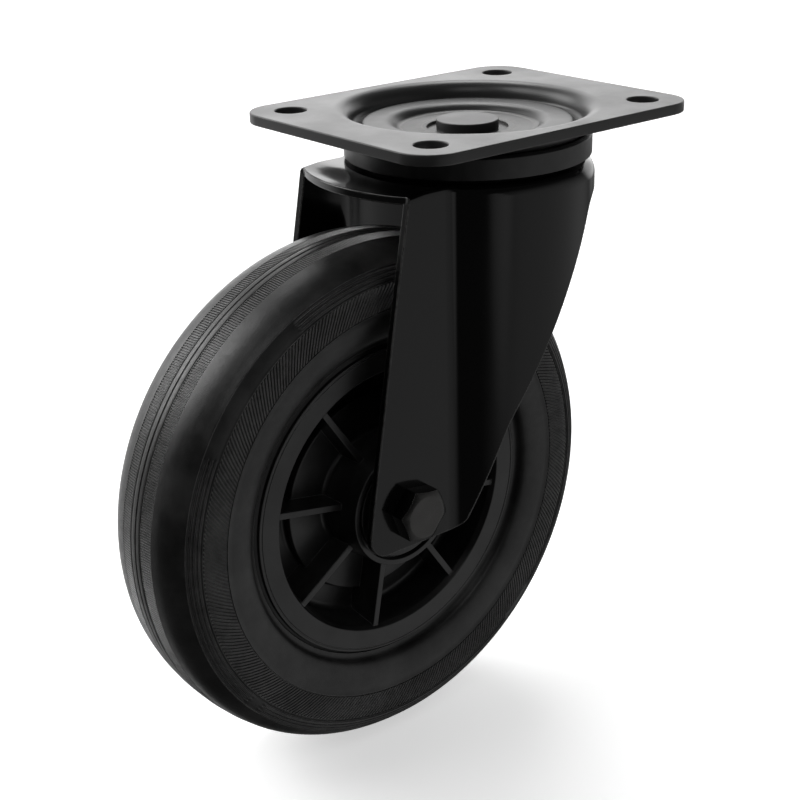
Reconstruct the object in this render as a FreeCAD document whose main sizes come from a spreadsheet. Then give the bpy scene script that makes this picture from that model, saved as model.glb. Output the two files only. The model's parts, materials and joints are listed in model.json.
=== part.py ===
"""Swivel caster with a pressed plate, a deep-drawn fork and a ribbed wheel with a rubber tyre.

Millimetres. The origin is the centre of the plate's top face, on the swivel axis, and +Z is up.
The wheel trails towards -X and its axle lies along Y.
"""
import FreeCAD, Part
import math
import os
import Sketcher
from FreeCAD import Placement, Rotation, Vector

SIZES = {
    # pressed plate
    "plate_thickness": 4,
    "plate_corner": 14,
    "plate_end_margin": 17.5,
    "plate_side_margin": 5,
    "bolt_edge_distance": 15,
    "bolt_hole_radius": 6,
    "dish_over_seal": 3.2,
    "dish_floor_depth": 6.5,
    "dish_lip_radius": 7.5,
    "dish_floor_blend": 3.4,
    "ridge_rise": 2.6,
    "ridge_foot_blend": 4.5,
    "hollow_blend": 0.7,
    "pin_seat_depth": 9,
    # swivel bearing
    "upper_ball_diameter": 11.1125,
    "upper_ball_circle": 21,
    "upper_ball_count": 11,
    "lower_ball_diameter": 6.35,
    "lower_ball_circle": 18,
    "lower_ball_count": 16,
    "ball_clearance": 0.02,
    "track_clearance": 0.35,
    "fork_track_depth": 0.5,
    "cup_track_depth": 0.6,
    "cup_thickness": 4,
    "cup_past_circle": 7,
    "cup_wall": 2,
    "cup_gap": 0.6,
    # king pin
    "pin_head_radius": 11.75,
    "pin_head_height": 4,
    "pin_shank_radius": 8,
    "pin_collar_radius": 9.9,
    "pin_rivet_radius": 11.5,
    "pin_rivet_height": 3.6,
    "pin_edge": 0.7,
    "press_gap": 0.02,
    "crown_bore_clearance": 0.5,
    # dust seal
    "seal_inside_drum": 1.2,
    "seal_wall": 2,
    "seal_foot_width": 5,
    "seal_foot_height": 1.4,
    "seal_top_depth": 9,
    "seal_bevel": 1,
    "seal_neck_height": 1.5,
    "seal_neck_inset": 1.2,
    "seal_gap": 0.05,
    # fork
    "fork_sheet": 3,
    "fork_drum_radius": 48,
    "fork_tyre_gap": 3.75,
    "fork_top_bend": 3.5,
    "fork_leg_bend": 8,
    "fork_rear_top": 55.4,
    "fork_rear_bow": 0.4,
    "fork_rear_low": 78.3,
    "fork_leg_below_axle": 14.5,
    "fork_toe_x": 34,
    "fork_knee_x": 19,
    "fork_knee_over_axle": 28.5,
    "fork_brow_x": 24.9,
    "fork_brow_depth": 31,
    "fork_heel_corner": 8,
    "fork_toe_corner": 7,
    "fork_knee_bend": 60,
    "fork_brow_bend": 12,
    "crown_lip": 7.4,
    "tool_past_part": 5,
    # axle
    "axle_offset": 56.3,
    "pin_tyre_gap": 4.0575,
    "bolt_radius": 6,
    "bolt_across_flats": 19,
    "bolt_head_height": 7.5,
    "bolt_face_radius": 9,
    "bolt_tip": 1.2,
    "bolt_end_past_nut": 1.5,
    "bolt_head_overlap": 1,
    "leg_hole_clearance": 0.3,
    "nut_height": 12,
    "nut_collar_height": 4,
    "nut_bore_clearance": 0.05,
    "nut_collar_lip": 0.8,
    "nut_collar_overlap": 1,
    "insert_height": 2.6,
    "insert_radius": 7.9,
    "insert_cover": 0.9,
    "sleeve_radius": 10,
    "sleeve_bore_clearance": 0.2,
    "sleeve_gap": 0.03,
    # roller bearing
    "roller_radius": 2.5,
    "roller_end_cover": 4.1,
    "roller_count": 12,
    "roller_clearance": 0.03,
    "cage_wall": 2.4,
    "cage_end_gap": 0.2,
    "cage_pocket_clearance": 0.08,
    # wheel
    "tyre_width": 50,
    "tyre_height": 44.6,
    "tread_crown": 1,
    "shoulder_width": 13.2,
    "shoulder_arc": 15.8,
    "tread_groove": 5.4,
    "tread_groove_half_width": 0.35,
    "tread_groove_depth": 0.7,
    "sidewall_below_tread": 14.5,
    "sidewall_inset": 0.25,
    "sidewall_arc": 40,
    "band_over_bead": 10.6,
    "band_inset": 0.45,
    "band_depth": 0.35,
    "band_edge": 0.4,
    "bead_over_flange": 3.1,
    "bead_inset": 3.2,
    "bead_groove_over_flange": 1.3,
    "bead_groove_inset": 4.8,
    "seat_radius": 55.4,
    "flange_height": 7.5,
    "flange_face": 7.4,
    "flange_inset": 4.1,
    "flange_thickness": 3.5,
    "flange_edge": 0.8,
    "barrel_mouth_wall": 3.6,
    "barrel_root_wall": 5.4,
    "web_half_width": 4,
    "web_boss_half_width": 8,
    "web_boss_radius": 40,
    "rib_thickness": 2.6,
    "rib_below_flange": 1.4,
    "rib_end_cover": 1,
    "rib_count": 8,
    "rib_phase": 34.5,
    "hub_radius": 22.3,
    "hub_root_radius": 23.4,
    "hub_leg_gap": 2.25,
    "hub_lip": 2,
    "hub_recess": 2.4,
    "disc_gap": 0.15,
    "disc_inset": 0.4,
    "disc_boss_radius": 14,
    "disc_bore_clearance": 0.08,
}

# the seal lies inside the drum's outline, the dish's mouth just outside the seal
SEAL_RADIUS = "(Size.fork_drum_radius - Size.seal_inside_drum)"
DISH_MOUTH = f"({SEAL_RADIUS} + Size.dish_over_seal)"
PLATE_HALF_LENGTH = f"({DISH_MOUTH} + Size.plate_end_margin)"
PLATE_HALF_WIDTH = f"({DISH_MOUTH} + Size.plate_side_margin)"

# heights of the swivel bearing, from the plate down, each ball row between its two tracks
CREST_UNDER = "(Size.ridge_rise - Size.dish_floor_depth - Size.plate_thickness)"
UPPER_BALL_CENTRE = f"({CREST_UNDER} - Size.ball_clearance - Size.upper_ball_diameter / 2)"
CROWN_TOP = (
    f"({UPPER_BALL_CENTRE} - Size.upper_ball_diameter / 2 - Size.ball_clearance + Size.fork_track_depth)"
)
CROWN_UNDER = f"({CROWN_TOP} - Size.fork_sheet)"
LOWER_BALL_CENTRE = (
    f"({CROWN_UNDER} + Size.fork_track_depth - Size.ball_clearance - Size.lower_ball_diameter / 2)"
)
CUP_TOP = (
    f"({LOWER_BALL_CENTRE} - Size.lower_ball_diameter / 2 - Size.ball_clearance + Size.cup_track_depth)"
)
UPPER_TRACK = "(Size.upper_ball_diameter / 2 + Size.track_clearance)"
LOWER_TRACK = "(Size.lower_ball_diameter / 2 + Size.track_clearance)"

CUP_RADIUS = "(Size.lower_ball_circle + Size.cup_past_circle)"
CUP_UNDER = f"({CUP_TOP} - Size.cup_thickness)"
PIN_END = f"({CUP_UNDER} - Size.pin_rivet_height)"

# the rim and the tyre, from the tyre's seat out
FLANGE_RADIUS = "(Size.seat_radius + Size.flange_height)"
FLANGE_INNER = f"({FLANGE_RADIUS} - Size.flange_face)"
FLANGE_HALF_WIDTH = "(Size.tyre_width / 2 - Size.flange_inset)"
FLANGE_BACK = f"({FLANGE_HALF_WIDTH} - Size.flange_thickness)"
BEAD_RADIUS = f"({FLANGE_RADIUS} + Size.bead_over_flange)"
BAND_RADIUS = f"({BEAD_RADIUS} + Size.band_over_bead)"
WHEEL_RADIUS = "(Size.seat_radius + Size.tyre_height)"
SIDEWALL_RADIUS = f"({WHEEL_RADIUS} - Size.sidewall_below_tread)"
TREAD_HALF_WIDTH = "(Size.tyre_width / 2 - Size.shoulder_width)"
AXLE_DEPTH = f"({WHEEL_RADIUS} + Size.pin_tyre_gap - {PIN_END})"

# the fork's legs and the roller bearing, from the tyre and the sleeve out
LEG_INSIDE = "(Size.tyre_width / 2 + Size.fork_tyre_gap)"
LEG_OUTSIDE = f"({LEG_INSIDE} + Size.fork_sheet)"
HUB_HALF_LENGTH = f"({LEG_INSIDE} - Size.hub_leg_gap)"
ROLLER_CIRCLE = "(Size.sleeve_radius + Size.roller_clearance + Size.roller_radius)"
HUB_BORE = f"({ROLLER_CIRCLE} + Size.roller_radius + Size.roller_clearance)"
HUB_SHOULDER = f"({HUB_HALF_LENGTH} - Size.hub_recess)"
ROLLER_LENGTH = f"(2 * ({HUB_SHOULDER} - Size.roller_end_cover))"
HUB_MOUTH = "(Size.hub_radius - Size.hub_lip)"
NUT_BORE = "(Size.bolt_radius + Size.nut_bore_clearance)"
NUT_HEX_HEIGHT = "(Size.nut_height - Size.nut_collar_height)"

doc = FreeCAD.newDocument("swivel_caster")
sheet = doc.addObject("Spreadsheet::Sheet", "Size")
for row, (alias, size) in enumerate(SIZES.items(), start=1):
    sheet.set(f"A{row}", alias)
    sheet.set(f"B{row}", str(size))
    sheet.setAlias(f"B{row}", alias)
doc.recompute()


def size(expression):
    """The number that an expression of the sheet's sizes gives."""
    return float(sheet.evalExpression(expression))


def bind(item, **properties):
    """Bind an object's properties to expressions of the sheet's sizes."""
    for name, expression in properties.items():
        item.setExpression(name.replace("__", "."), expression)
    return item


def arc_edge(start, end, radius, turn):
    """An arc between two points, turning left (1) or right (-1), drawn anticlockwise."""
    chord = end - start
    left = Vector(-chord.y, chord.x).normalize()
    reach = math.sqrt(radius ** 2 - (chord.Length / 2) ** 2)
    centre = (start + end) / 2 + left * reach * turn
    first, last = (start, end) if turn > 0 else (end, start)
    angles = [math.atan2((point - centre).y, (point - centre).x) for point in (first, last)]
    if angles[1] < angles[0]:
        angles[1] += 2 * math.pi
    return Part.ArcOfCircle(Part.Circle(centre, Vector(0, 0, 1), radius), angles[0], angles[1])


def new_sketch(body, name, role):
    """An empty sketch on one of a body's own origin planes."""
    sketch = body.newObject("Sketcher::SketchObject", name)
    plane = next(item for item in body.Origin.OriginFeatures if item.Role == role)
    sketch.AttachmentSupport = [(plane, "")]
    sketch.MapMode = "FlatFace"
    return sketch


def fix(sketch, kind, edge, *rest):
    """Add one dimension to a sketch, bound to an expression."""
    *vertex, expression = rest
    index = sketch.addConstraint(Sketcher.Constraint(kind, edge, *vertex, size(expression)))
    sketch.setExpression(f"Constraints[{index}]", expression)


def add_outline(sketch, steps):
    """Draw a closed outline, with each corner bound to its own two expressions.

    A step is (x, y), or (x, y, radius, turn) where an arc leads to that corner.
    """
    corners = [Vector(size(step[0]), size(step[1])) for step in steps]
    first_edge = sketch.GeometryCount
    ends = []
    for index, step in enumerate(steps):
        start, end = corners[index - 1], corners[index]
        if len(step) == 2:
            sketch.addGeometry(Part.LineSegment(start, end))
            ends.append((1, 2))
        else:
            sketch.addGeometry(arc_edge(start, end, size(step[2]), step[3]))
            ends.append((1, 2) if step[3] > 0 else (2, 1))
    count = len(steps)
    for index, step in enumerate(steps):
        edge = first_edge + index
        following = (index + 1) % count
        joint = (edge, ends[index][1], first_edge + following, ends[following][0])
        sketch.addConstraint(Sketcher.Constraint("Coincident", *joint))
        fix(sketch, "DistanceX", edge, ends[index][1], step[0])
        fix(sketch, "DistanceY", edge, ends[index][1], step[1])
        if len(step) > 2:
            fix(sketch, "Radius", edge, step[2])


def add_circle(sketch, x, y, radius):
    """Draw a circle whose centre and radius are bound to expressions."""
    edge = sketch.addGeometry(Part.Circle(Vector(size(x), size(y)), Vector(0, 0, 1), size(radius)))
    fix(sketch, "DistanceX", edge, 3, x)
    fix(sketch, "DistanceY", edge, 3, y)
    fix(sketch, "Radius", edge, radius)


def revolve(body, name, steps):
    """Turn a closed outline, given as radius and height, about the body's Z axis."""
    sketch = new_sketch(body, f"{name}_section", "XZ_Plane")
    add_outline(sketch, steps)
    turned = body.newObject("PartDesign::Revolution", name)
    turned.Profile = sketch
    turned.ReferenceAxis = (sketch, ["V_Axis"])
    turned.Angle = 360
    return turned


def mirrored(upper):
    """A closed outline from its upper half and that half's mirror image, as steps of an outline.

    The first step's arc leads across the middle, and each mirrored arc leads to the corner before it.
    """
    lower = []
    for step, following in zip(reversed(upper), [()] + upper[:0:-1]):
        lower.append((step[0], f"-{step[1]}") + tuple(following[2:]))
    return lower + upper


def new_body(name):
    """A body whose label is its node's name."""
    body = doc.addObject("PartDesign::Body", name)
    body.Label = name
    return body


def hexagon(across_flats):
    """The corners of a hexagon with two corners on the X axis."""
    corner = f"{across_flats} / sqrt(3)"
    return [(f"{corner} * cos({60 * side})", f"{corner} * sin({60 * side})") for side in range(6)]


def on_axle(item, turn=90, spin=0, y="0"):
    """Turn an item's Z axis along the wheel's axle and move it there."""
    item.Placement = Placement(Vector(), Rotation(Vector(1, 0, 0), turn) * Rotation(Vector(0, 0, 1), spin))
    bind(item, Placement__Base__x="-Size.axle_offset", Placement__Base__y=y, Placement__Base__z=f"-{AXLE_DEPTH}")
    return item


def plain_cylinder(name, radius, height, bottom="0"):
    """A cylinder about the Z axis, bound to expressions."""
    item = doc.addObject("Part::Cylinder", name)
    return bind(item, Radius=radius, Height=height, Placement__Base__z=bottom)


def cut(name, base, tool):
    """One object cut away from another."""
    item = doc.addObject("Part::Cut", name)
    item.Base = base
    item.Tool = tool
    item.Label = name
    return item


def feature(name, shape):
    """An object that holds a shape made by this script's own functions."""
    item = doc.addObject("Part::Feature", name)
    item.Shape = shape
    item.Label = name
    return item


def flat(x, y):
    """A point in the XZ plane, from a section's two values."""
    return Vector(x, 0, y)


def press_step(start, rise, first_radius, second_radius):
    """Two tangent arcs that lead inward from one level of a pressed sheet to another."""
    total = first_radius + second_radius
    height = abs(rise)
    way = math.copysign(1, rise)
    half_turn = math.acos(1 - height / total) / 2
    run = math.sqrt(height * (2 * total - height))
    end = start + flat(-run, rise)

    def on_first(angle):
        return start + flat(-first_radius * math.sin(angle), way * first_radius * (1 - math.cos(angle)))

    def on_second(angle):
        return end + flat(second_radius * math.sin(angle), -way * second_radius * (1 - math.cos(angle)))

    joint = on_first(2 * half_turn)
    arcs = [Part.Arc(start, on_first(half_turn), joint), Part.Arc(joint, on_second(half_turn), end)]
    return arcs, end


def dish_line(depth):
    """The dish's section at a depth below the sheet's top face, from the flat plate to the pin."""
    crest = size(UPPER_TRACK) + size("Size.plate_thickness")
    floor = size("Size.dish_floor_depth")
    rise = size("Size.ridge_rise")
    seat = size("Size.pin_seat_depth")
    mouth = flat(size(DISH_MOUTH), -depth)
    start = mouth + flat(1, 0)
    wall, floor_start = press_step(
        mouth, -floor, size("Size.dish_lip_radius") - depth, size("Size.dish_floor_blend") + depth)
    inner = size("Size.hollow_blend") + depth
    foot = size("Size.ridge_foot_blend") + depth
    top = crest - depth
    foot_run = math.sqrt(rise * (2 * (foot + top) - rise))
    floor_end = flat(size("Size.upper_ball_circle") + foot_run, -floor - depth)
    ridge, ridge_top = press_step(floor_end, rise, foot, top)
    slope, hollow = press_step(ridge_top, floor - rise - seat, top, inner)
    bore = flat(size("Size.pin_shank_radius + Size.press_gap"), hollow.z)
    lines = [Part.LineSegment(start, mouth), Part.LineSegment(floor_start, floor_end),
             Part.LineSegment(hollow, bore)]
    return lines + wall + ridge + slope, start, bore


def revolved_sheet(lines):
    """The solid that a closed section of curves in the XZ plane turns out about the Z axis."""
    edges = Part.sortEdges([line.toShape() for line in lines])[0]
    return Part.Face(Part.Wire(edges)).revolve(Vector(), Vector(0, 0, 1), 360)


def build_top_plate():
    """A flat plate with four bolt holes and rounded corners, fused to its pressed dish."""
    blank = new_body("plate_blank")
    sketch = new_sketch(blank, "plate_outline", "XY_Plane")
    add_outline(sketch, [(f"{x} * {PLATE_HALF_LENGTH}", f"{y} * {PLATE_HALF_WIDTH}")
                         for x, y in ((-1, -1), (1, -1), (1, 1), (-1, 1))])
    for x in (-1, 1):
        for y in (-1, 1):
            add_circle(sketch, f"{x} * ({PLATE_HALF_LENGTH} - Size.bolt_edge_distance)",
                       f"{y} * ({PLATE_HALF_WIDTH} - Size.bolt_edge_distance)", "Size.bolt_hole_radius")
    add_circle(sketch, "0", "0", DISH_MOUTH)
    pad = blank.newObject("PartDesign::Pad", "plate_sheet")
    pad.Profile = sketch
    pad.Reversed = True
    bind(pad, Length="Size.plate_thickness")
    doc.recompute()
    corners = [f"Edge{number}" for number, edge in enumerate(pad.Shape.Edges, start=1)
               if edge.Curve.TypeId == "Part::GeomLine" and abs(edge.tangentAt(edge.FirstParameter).z) > 0.9
               and len(edge.Vertexes) == 2 and abs(edge.Vertexes[0].X) > size(PLATE_HALF_LENGTH) - 0.01]
    rounding = blank.newObject("PartDesign::Fillet", "plate_corners")
    rounding.Base = (pad, corners)
    bind(rounding, Radius="Size.plate_corner")

    top, top_start, top_bore = dish_line(0)
    under, under_start, under_bore = dish_line(size("Size.plate_thickness"))
    ends = [Part.LineSegment(top_start, under_start), Part.LineSegment(top_bore, under_bore)]
    dish = feature("plate_dish", revolved_sheet(top + under + ends))
    plate = doc.addObject("Part::Fuse", "top_plate")
    plate.Base = blank
    plate.Tool = dish
    plate.Refine = True
    plate.Label = "top_plate"
    return plate


def build_king_pin():
    """One turned pin: a head in the dish, a collar between plate and cup, and a riveted end."""
    seat = "-Size.pin_seat_depth"
    head = f"({seat} + Size.pin_head_height)"
    collar = f"({seat} - Size.plate_thickness)"
    body = new_body("king_pin")
    revolve(body, "pin", [
        ("0", head),
        ("Size.pin_head_radius - Size.pin_edge", head),
        ("Size.pin_head_radius", f"{head} - Size.pin_edge"),
        ("Size.pin_head_radius", seat),
        ("Size.pin_shank_radius", seat),
        ("Size.pin_shank_radius", collar),
        ("Size.pin_collar_radius", collar),
        ("Size.pin_collar_radius", CUP_TOP),
        ("Size.pin_shank_radius", CUP_TOP),
        ("Size.pin_shank_radius", CUP_UNDER),
        ("Size.pin_rivet_radius", CUP_UNDER),
        ("Size.pin_rivet_radius - Size.pin_edge", PIN_END),
        ("0", PIN_END),
    ])
    return body


def build_lower_race():
    """The cup under the crown, with the lower ball track cut into its floor."""
    bore = "Size.pin_shank_radius + Size.press_gap"
    rim = f"({CROWN_UNDER} - Size.cup_gap)"
    body = new_body("cup_blank")
    revolve(body, "cup", [
        (bore, CUP_TOP),
        (f"{CUP_RADIUS} - Size.cup_wall", CUP_TOP),
        (f"{CUP_RADIUS} - Size.cup_wall", rim),
        (CUP_RADIUS, rim),
        (CUP_RADIUS, f"{CUP_UNDER} + Size.cup_wall"),
        (f"{CUP_RADIUS} - Size.cup_wall", CUP_UNDER),
        (bore, CUP_UNDER),
    ])
    track = doc.addObject("Part::Torus", "cup_track")
    bind(track, Radius1="Size.lower_ball_circle", Radius2=LOWER_TRACK,
         Placement__Base__z=f"{CUP_TOP} - Size.cup_track_depth + {LOWER_TRACK}")
    return cut("lower_race", body, track)


def build_dust_seal():
    """A ring with a foot on the crown, which closes the gap below the plate."""
    foot = f"({CROWN_TOP} + Size.seal_gap)"
    inner = f"({SEAL_RADIUS} - Size.seal_wall)"
    body = new_body("dust_seal")
    revolve(body, "seal", [
        (inner, "-Size.seal_top_depth"),
        (f"{SEAL_RADIUS} - Size.seal_bevel", "-Size.seal_top_depth"),
        (SEAL_RADIUS, "-Size.seal_top_depth - Size.seal_bevel"),
        (SEAL_RADIUS, f"{foot} + Size.seal_neck_height"),
        (f"{SEAL_RADIUS} - Size.seal_neck_inset", f"{foot} + Size.seal_neck_height"),
        (f"{SEAL_RADIUS} - Size.seal_neck_inset", foot),
        (f"{inner} - Size.seal_foot_width", foot),
        (f"{inner} - Size.seal_foot_width", f"{foot} + Size.seal_foot_height"),
        (inner, f"{foot} + Size.seal_foot_height"),
    ])
    return body


def ring_of(count, circle, piece):
    """Copies of a shape evenly spaced round the Z axis."""
    copies = []
    for index in range(round(count)):
        copy = piece.copy()
        copy.translate(Vector(circle, 0, 0))
        copy.rotate(Vector(), Vector(0, 0, 1), 360 * index / count)
        copies.append(copy)
    return Part.makeCompound(copies)


def build_ball_row(row, centre):
    """The balls of one row, as separate solids."""
    ball = Part.makeSphere(size(f"Size.{row}_ball_diameter / 2"))
    ball.translate(Vector(0, 0, size(centre)))
    count = size(f"Size.{row}_ball_count")
    return feature(f"{row}_balls", ring_of(count, size(f"Size.{row}_ball_circle"), ball))


def crown_plan(radius, half_width, bend, rear):
    """The fork's plan: a round front that bends into two straight legs, open to the rear."""
    reach = math.sqrt((radius + bend) ** 2 - (half_width + bend) ** 2)
    share = radius / (radius + bend)
    edges = []
    for side in (-1, 1):
        centre = Vector(-reach, side * (half_width + bend), 0)
        leg = Vector(-reach, side * half_width, 0)
        drum = centre * share
        towards_leg = (leg - centre).normalize()
        towards_drum = (drum - centre).normalize()
        middle = centre + (towards_leg + towards_drum).normalize() * bend
        edges.append(Part.LineSegment(Vector(-rear, side * half_width, 0), leg).toShape())
        edges.append(Part.Arc(leg, middle, drum).toShape())
    front = Vector(radius, 0, 0)
    edges.append(Part.Arc(Vector(drum.x, -drum.y, 0), front, drum).toShape())
    edges.append(Part.LineSegment(Vector(-rear, -half_width, 0), Vector(-rear, half_width, 0)).toShape())
    return Part.Face(Part.Wire(Part.sortEdges(edges)[0]))


def crown_block(inset, top, depth, rear):
    """The fork's plan drawn down from its top, with the bend round its upper edge."""
    plan = crown_plan(size("Size.fork_drum_radius") - inset, size(LEG_OUTSIDE) - inset,
                      size("Size.fork_leg_bend") + inset, rear)
    plan.translate(Vector(0, 0, top))
    block = plan.extrude(Vector(0, 0, -depth))
    upper = [edge for edge in block.Edges
             if edge.BoundBox.ZMin > top - 0.01 and edge.BoundBox.XMax > -rear + 0.01]
    return block.makeFillet(size("Size.fork_top_bend") - inset, upper)


def fork_side(wide):
    """The fork's side view as a prism: straight toe and brow lines, and a bowed rear edge."""
    bottom = -size(f"{AXLE_DEPTH} + Size.fork_leg_below_axle")
    top = size(CROWN_TOP)
    rear_top = flat(-size("Size.fork_rear_top"), top)
    heel = flat(-size("Size.fork_rear_low"), bottom)
    rear_middle = (rear_top + heel) / 2 - flat(size("Size.fork_rear_bow"), 0)
    toe = flat(-size("Size.fork_toe_x"), bottom)
    knee = flat(-size("Size.fork_knee_x"), size(f"Size.fork_knee_over_axle - {AXLE_DEPTH}"))
    brow = flat(size("Size.fork_brow_x"), -size("Size.fork_brow_depth"))
    front = flat(size("Size.fork_drum_radius + Size.tool_past_part"), brow.z)
    edges = [Part.Arc(rear_top, rear_middle, heel).toShape()]
    edges.append(Part.makePolygon([heel, toe, knee, brow, front, flat(front.x, 0), flat(rear_top.x, 0), rear_top]))
    face = Part.Face(Part.Wire([edges[0]] + edges[1].Edges))
    face.translate(Vector(0, -wide, 0))
    prism = face.extrude(Vector(0, 2 * wide, 0))
    corners = ((heel, "Size.fork_heel_corner"), (toe, "Size.fork_toe_corner"),
               (knee, "Size.fork_knee_bend"), (brow, "Size.fork_brow_bend"))
    for corner, radius in corners:
        edge = min(prism.Edges, key=lambda item: (item.CenterOfMass - corner).Length)
        prism = prism.makeFillet(size(radius), [edge])
    return prism


def crown_lip():
    """The crown's free rear edge, which bulges past the legs."""
    half_width = size(f"{LEG_OUTSIDE} - Size.fork_top_bend")
    rear = -size("Size.fork_rear_top")
    near, far = Vector(rear, -half_width, 0), Vector(rear, half_width, 0)
    tip = Vector(rear - size("Size.crown_lip"), 0, 0)
    inner = [Vector(0, half_width, 0), Vector(0, -half_width, 0)]
    edges = [Part.Arc(near, tip, far).toShape()] + Part.makePolygon([far] + inner + [near]).Edges
    return Part.Face(Part.Wire(edges)).extrude(Vector(0, 0, size(f"{CROWN_UNDER} - Size.crown_bore_clearance")))


def build_fork():
    """One deep-drawn sheet: crown, half-drum front and two legs, with ball tracks in the crown."""
    top = size(CROWN_TOP)
    thickness = size("Size.fork_sheet")
    past = size("Size.tool_past_part")
    depth = size(f"{AXLE_DEPTH} + Size.fork_leg_below_axle") + top + past
    rear = size("Size.fork_rear_low") + past
    outside = crown_block(0, top, depth, rear)
    inside = crown_block(thickness, top - thickness, depth, rear + past)
    wide = size("Size.fork_drum_radius") + past
    fork = outside.cut(inside).common(fork_side(wide).fuse(crown_lip()))
    tracks = []
    for circle, radius, height in (
            ("Size.upper_ball_circle", UPPER_TRACK, f"{CROWN_TOP} - Size.fork_track_depth + {UPPER_TRACK}"),
            ("Size.lower_ball_circle", LOWER_TRACK, f"{CROWN_UNDER} + Size.fork_track_depth - {LOWER_TRACK}")):
        tracks.append(Part.makeTorus(size(circle), size(radius), Vector(0, 0, size(height))))
    bore = Part.makeCylinder(size("Size.pin_collar_radius + Size.crown_bore_clearance"), thickness + 2 * past,
                             Vector(0, 0, top - thickness - past))
    axle = Part.makeCylinder(size("Size.bolt_radius + Size.leg_hole_clearance"), 2 * wide,
                             Vector(-size("Size.axle_offset"), -wide, -size(AXLE_DEPTH)), Vector(0, 1, 0))
    return feature("fork", fork.cut(tracks + [bore, axle]).removeSplitter())


def build_axle_bolt():
    """A hexagon bolt: bevelled head outside the near leg, shank through to the nut."""
    corner = "(Size.bolt_across_flats / sqrt(3) + Size.bolt_head_overlap)"
    body = new_body("axle_bolt")
    sketch = new_sketch(body, "bolt_hexagon", "XY_Plane")
    add_outline(sketch, hexagon("Size.bolt_across_flats"))
    head = body.newObject("PartDesign::Pad", "bolt_head")
    head.Profile = sketch
    bind(head, Length="Size.bolt_head_height")
    doc.recompute()
    bevel = new_sketch(body, "bolt_bevel_section", "XZ_Plane")
    add_outline(bevel, [
        ("Size.bolt_face_radius", "Size.bolt_head_height"),
        (corner, f"Size.bolt_head_height - ({corner} - Size.bolt_face_radius) * tan(30)"),
        (corner, "Size.bolt_head_height + Size.bolt_head_overlap"),
        ("Size.bolt_face_radius", "Size.bolt_head_height + Size.bolt_head_overlap"),
    ])
    groove = body.newObject("PartDesign::Groove", "bolt_bevel")
    groove.Profile = bevel
    groove.ReferenceAxis = (bevel, ["V_Axis"])
    groove.Angle = 360
    doc.recompute()
    length = f"(2 * {LEG_OUTSIDE} + Size.nut_height + Size.bolt_end_past_nut)"
    revolve(body, "bolt_shank", [
        ("0", "Size.bolt_head_overlap"),
        ("0", f"-{length}"),
        ("Size.bolt_radius - Size.bolt_tip", f"-{length}"),
        ("Size.bolt_radius", f"Size.bolt_tip - {length}"),
        ("Size.bolt_radius", "Size.bolt_head_overlap"),
    ])
    return on_axle(body, y=f"-{LEG_OUTSIDE}")


def build_axle_nut():
    """A lock nut on the far leg: a hexagon with a round collar that holds the nylon ring."""
    base = NUT_HEX_HEIGHT
    lid = f"({base} + Size.nut_collar_height)"
    floor = f"({lid} - Size.insert_height - Size.nut_collar_lip)"
    body = new_body("axle_nut")
    sketch = new_sketch(body, "nut_hexagon", "XY_Plane")
    add_outline(sketch, hexagon("Size.bolt_across_flats"))
    add_circle(sketch, "0", "0", NUT_BORE)
    block = body.newObject("PartDesign::Pad", "nut_block")
    block.Profile = sketch
    bind(block, Length=base)
    doc.recompute()
    revolve(body, "nut_collar", [
        (NUT_BORE, f"{base} - Size.nut_collar_overlap"),
        (NUT_BORE, floor),
        ("Size.insert_radius + Size.press_gap", floor),
        ("Size.insert_radius + Size.press_gap", f"{lid} - Size.nut_collar_lip"),
        ("Size.insert_radius - Size.insert_cover", f"{lid} - Size.nut_collar_lip"),
        ("Size.insert_radius - Size.insert_cover", lid),
        ("Size.bolt_face_radius - Size.nut_collar_lip", lid),
        ("Size.bolt_face_radius", f"{lid} - Size.nut_collar_lip"),
        ("Size.bolt_face_radius", f"{base} - Size.nut_collar_overlap"),
    ])
    return on_axle(body, turn=-90, y=LEG_OUTSIDE)


def build_nut_insert():
    """The nylon ring inside the lock nut's collar."""
    top = f"({NUT_HEX_HEIGHT} + Size.nut_collar_height - Size.nut_collar_lip - Size.press_gap)"
    outer = plain_cylinder("insert_blank", "Size.insert_radius", "Size.insert_height - 2 * Size.press_gap",
                           f"{top} - Size.insert_height + 2 * Size.press_gap")
    bore = plain_cylinder("insert_bore", "Size.bolt_radius + Size.press_gap", "2 * Size.nut_height")
    return on_axle(cut("nut_insert", outer, bore), turn=-90, y=LEG_OUTSIDE)


def build_axle_sleeve():
    """The tube that the legs clamp, which the rollers run on."""
    half = f"({LEG_INSIDE} - Size.sleeve_gap)"
    outer = plain_cylinder("sleeve_blank", "Size.sleeve_radius", f"2 * {half}", f"-{half}")
    bore = plain_cylinder("sleeve_bore", "Size.bolt_radius + Size.sleeve_bore_clearance",
                          f"4 * {half}", f"-2 * {half}")
    return on_axle(cut("axle_sleeve", outer, bore))


def roller_ring(radius, length):
    """Rollers, or the pockets that hold them, round the sleeve."""
    roller = Part.makeCylinder(radius, length, Vector(0, 0, -length / 2))
    return ring_of(size("Size.roller_count"), size(ROLLER_CIRCLE), roller)


def build_rollers():
    """The steel rollers, as separate solids."""
    return on_axle(feature("rollers", roller_ring(size("Size.roller_radius"), size(ROLLER_LENGTH))))


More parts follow.
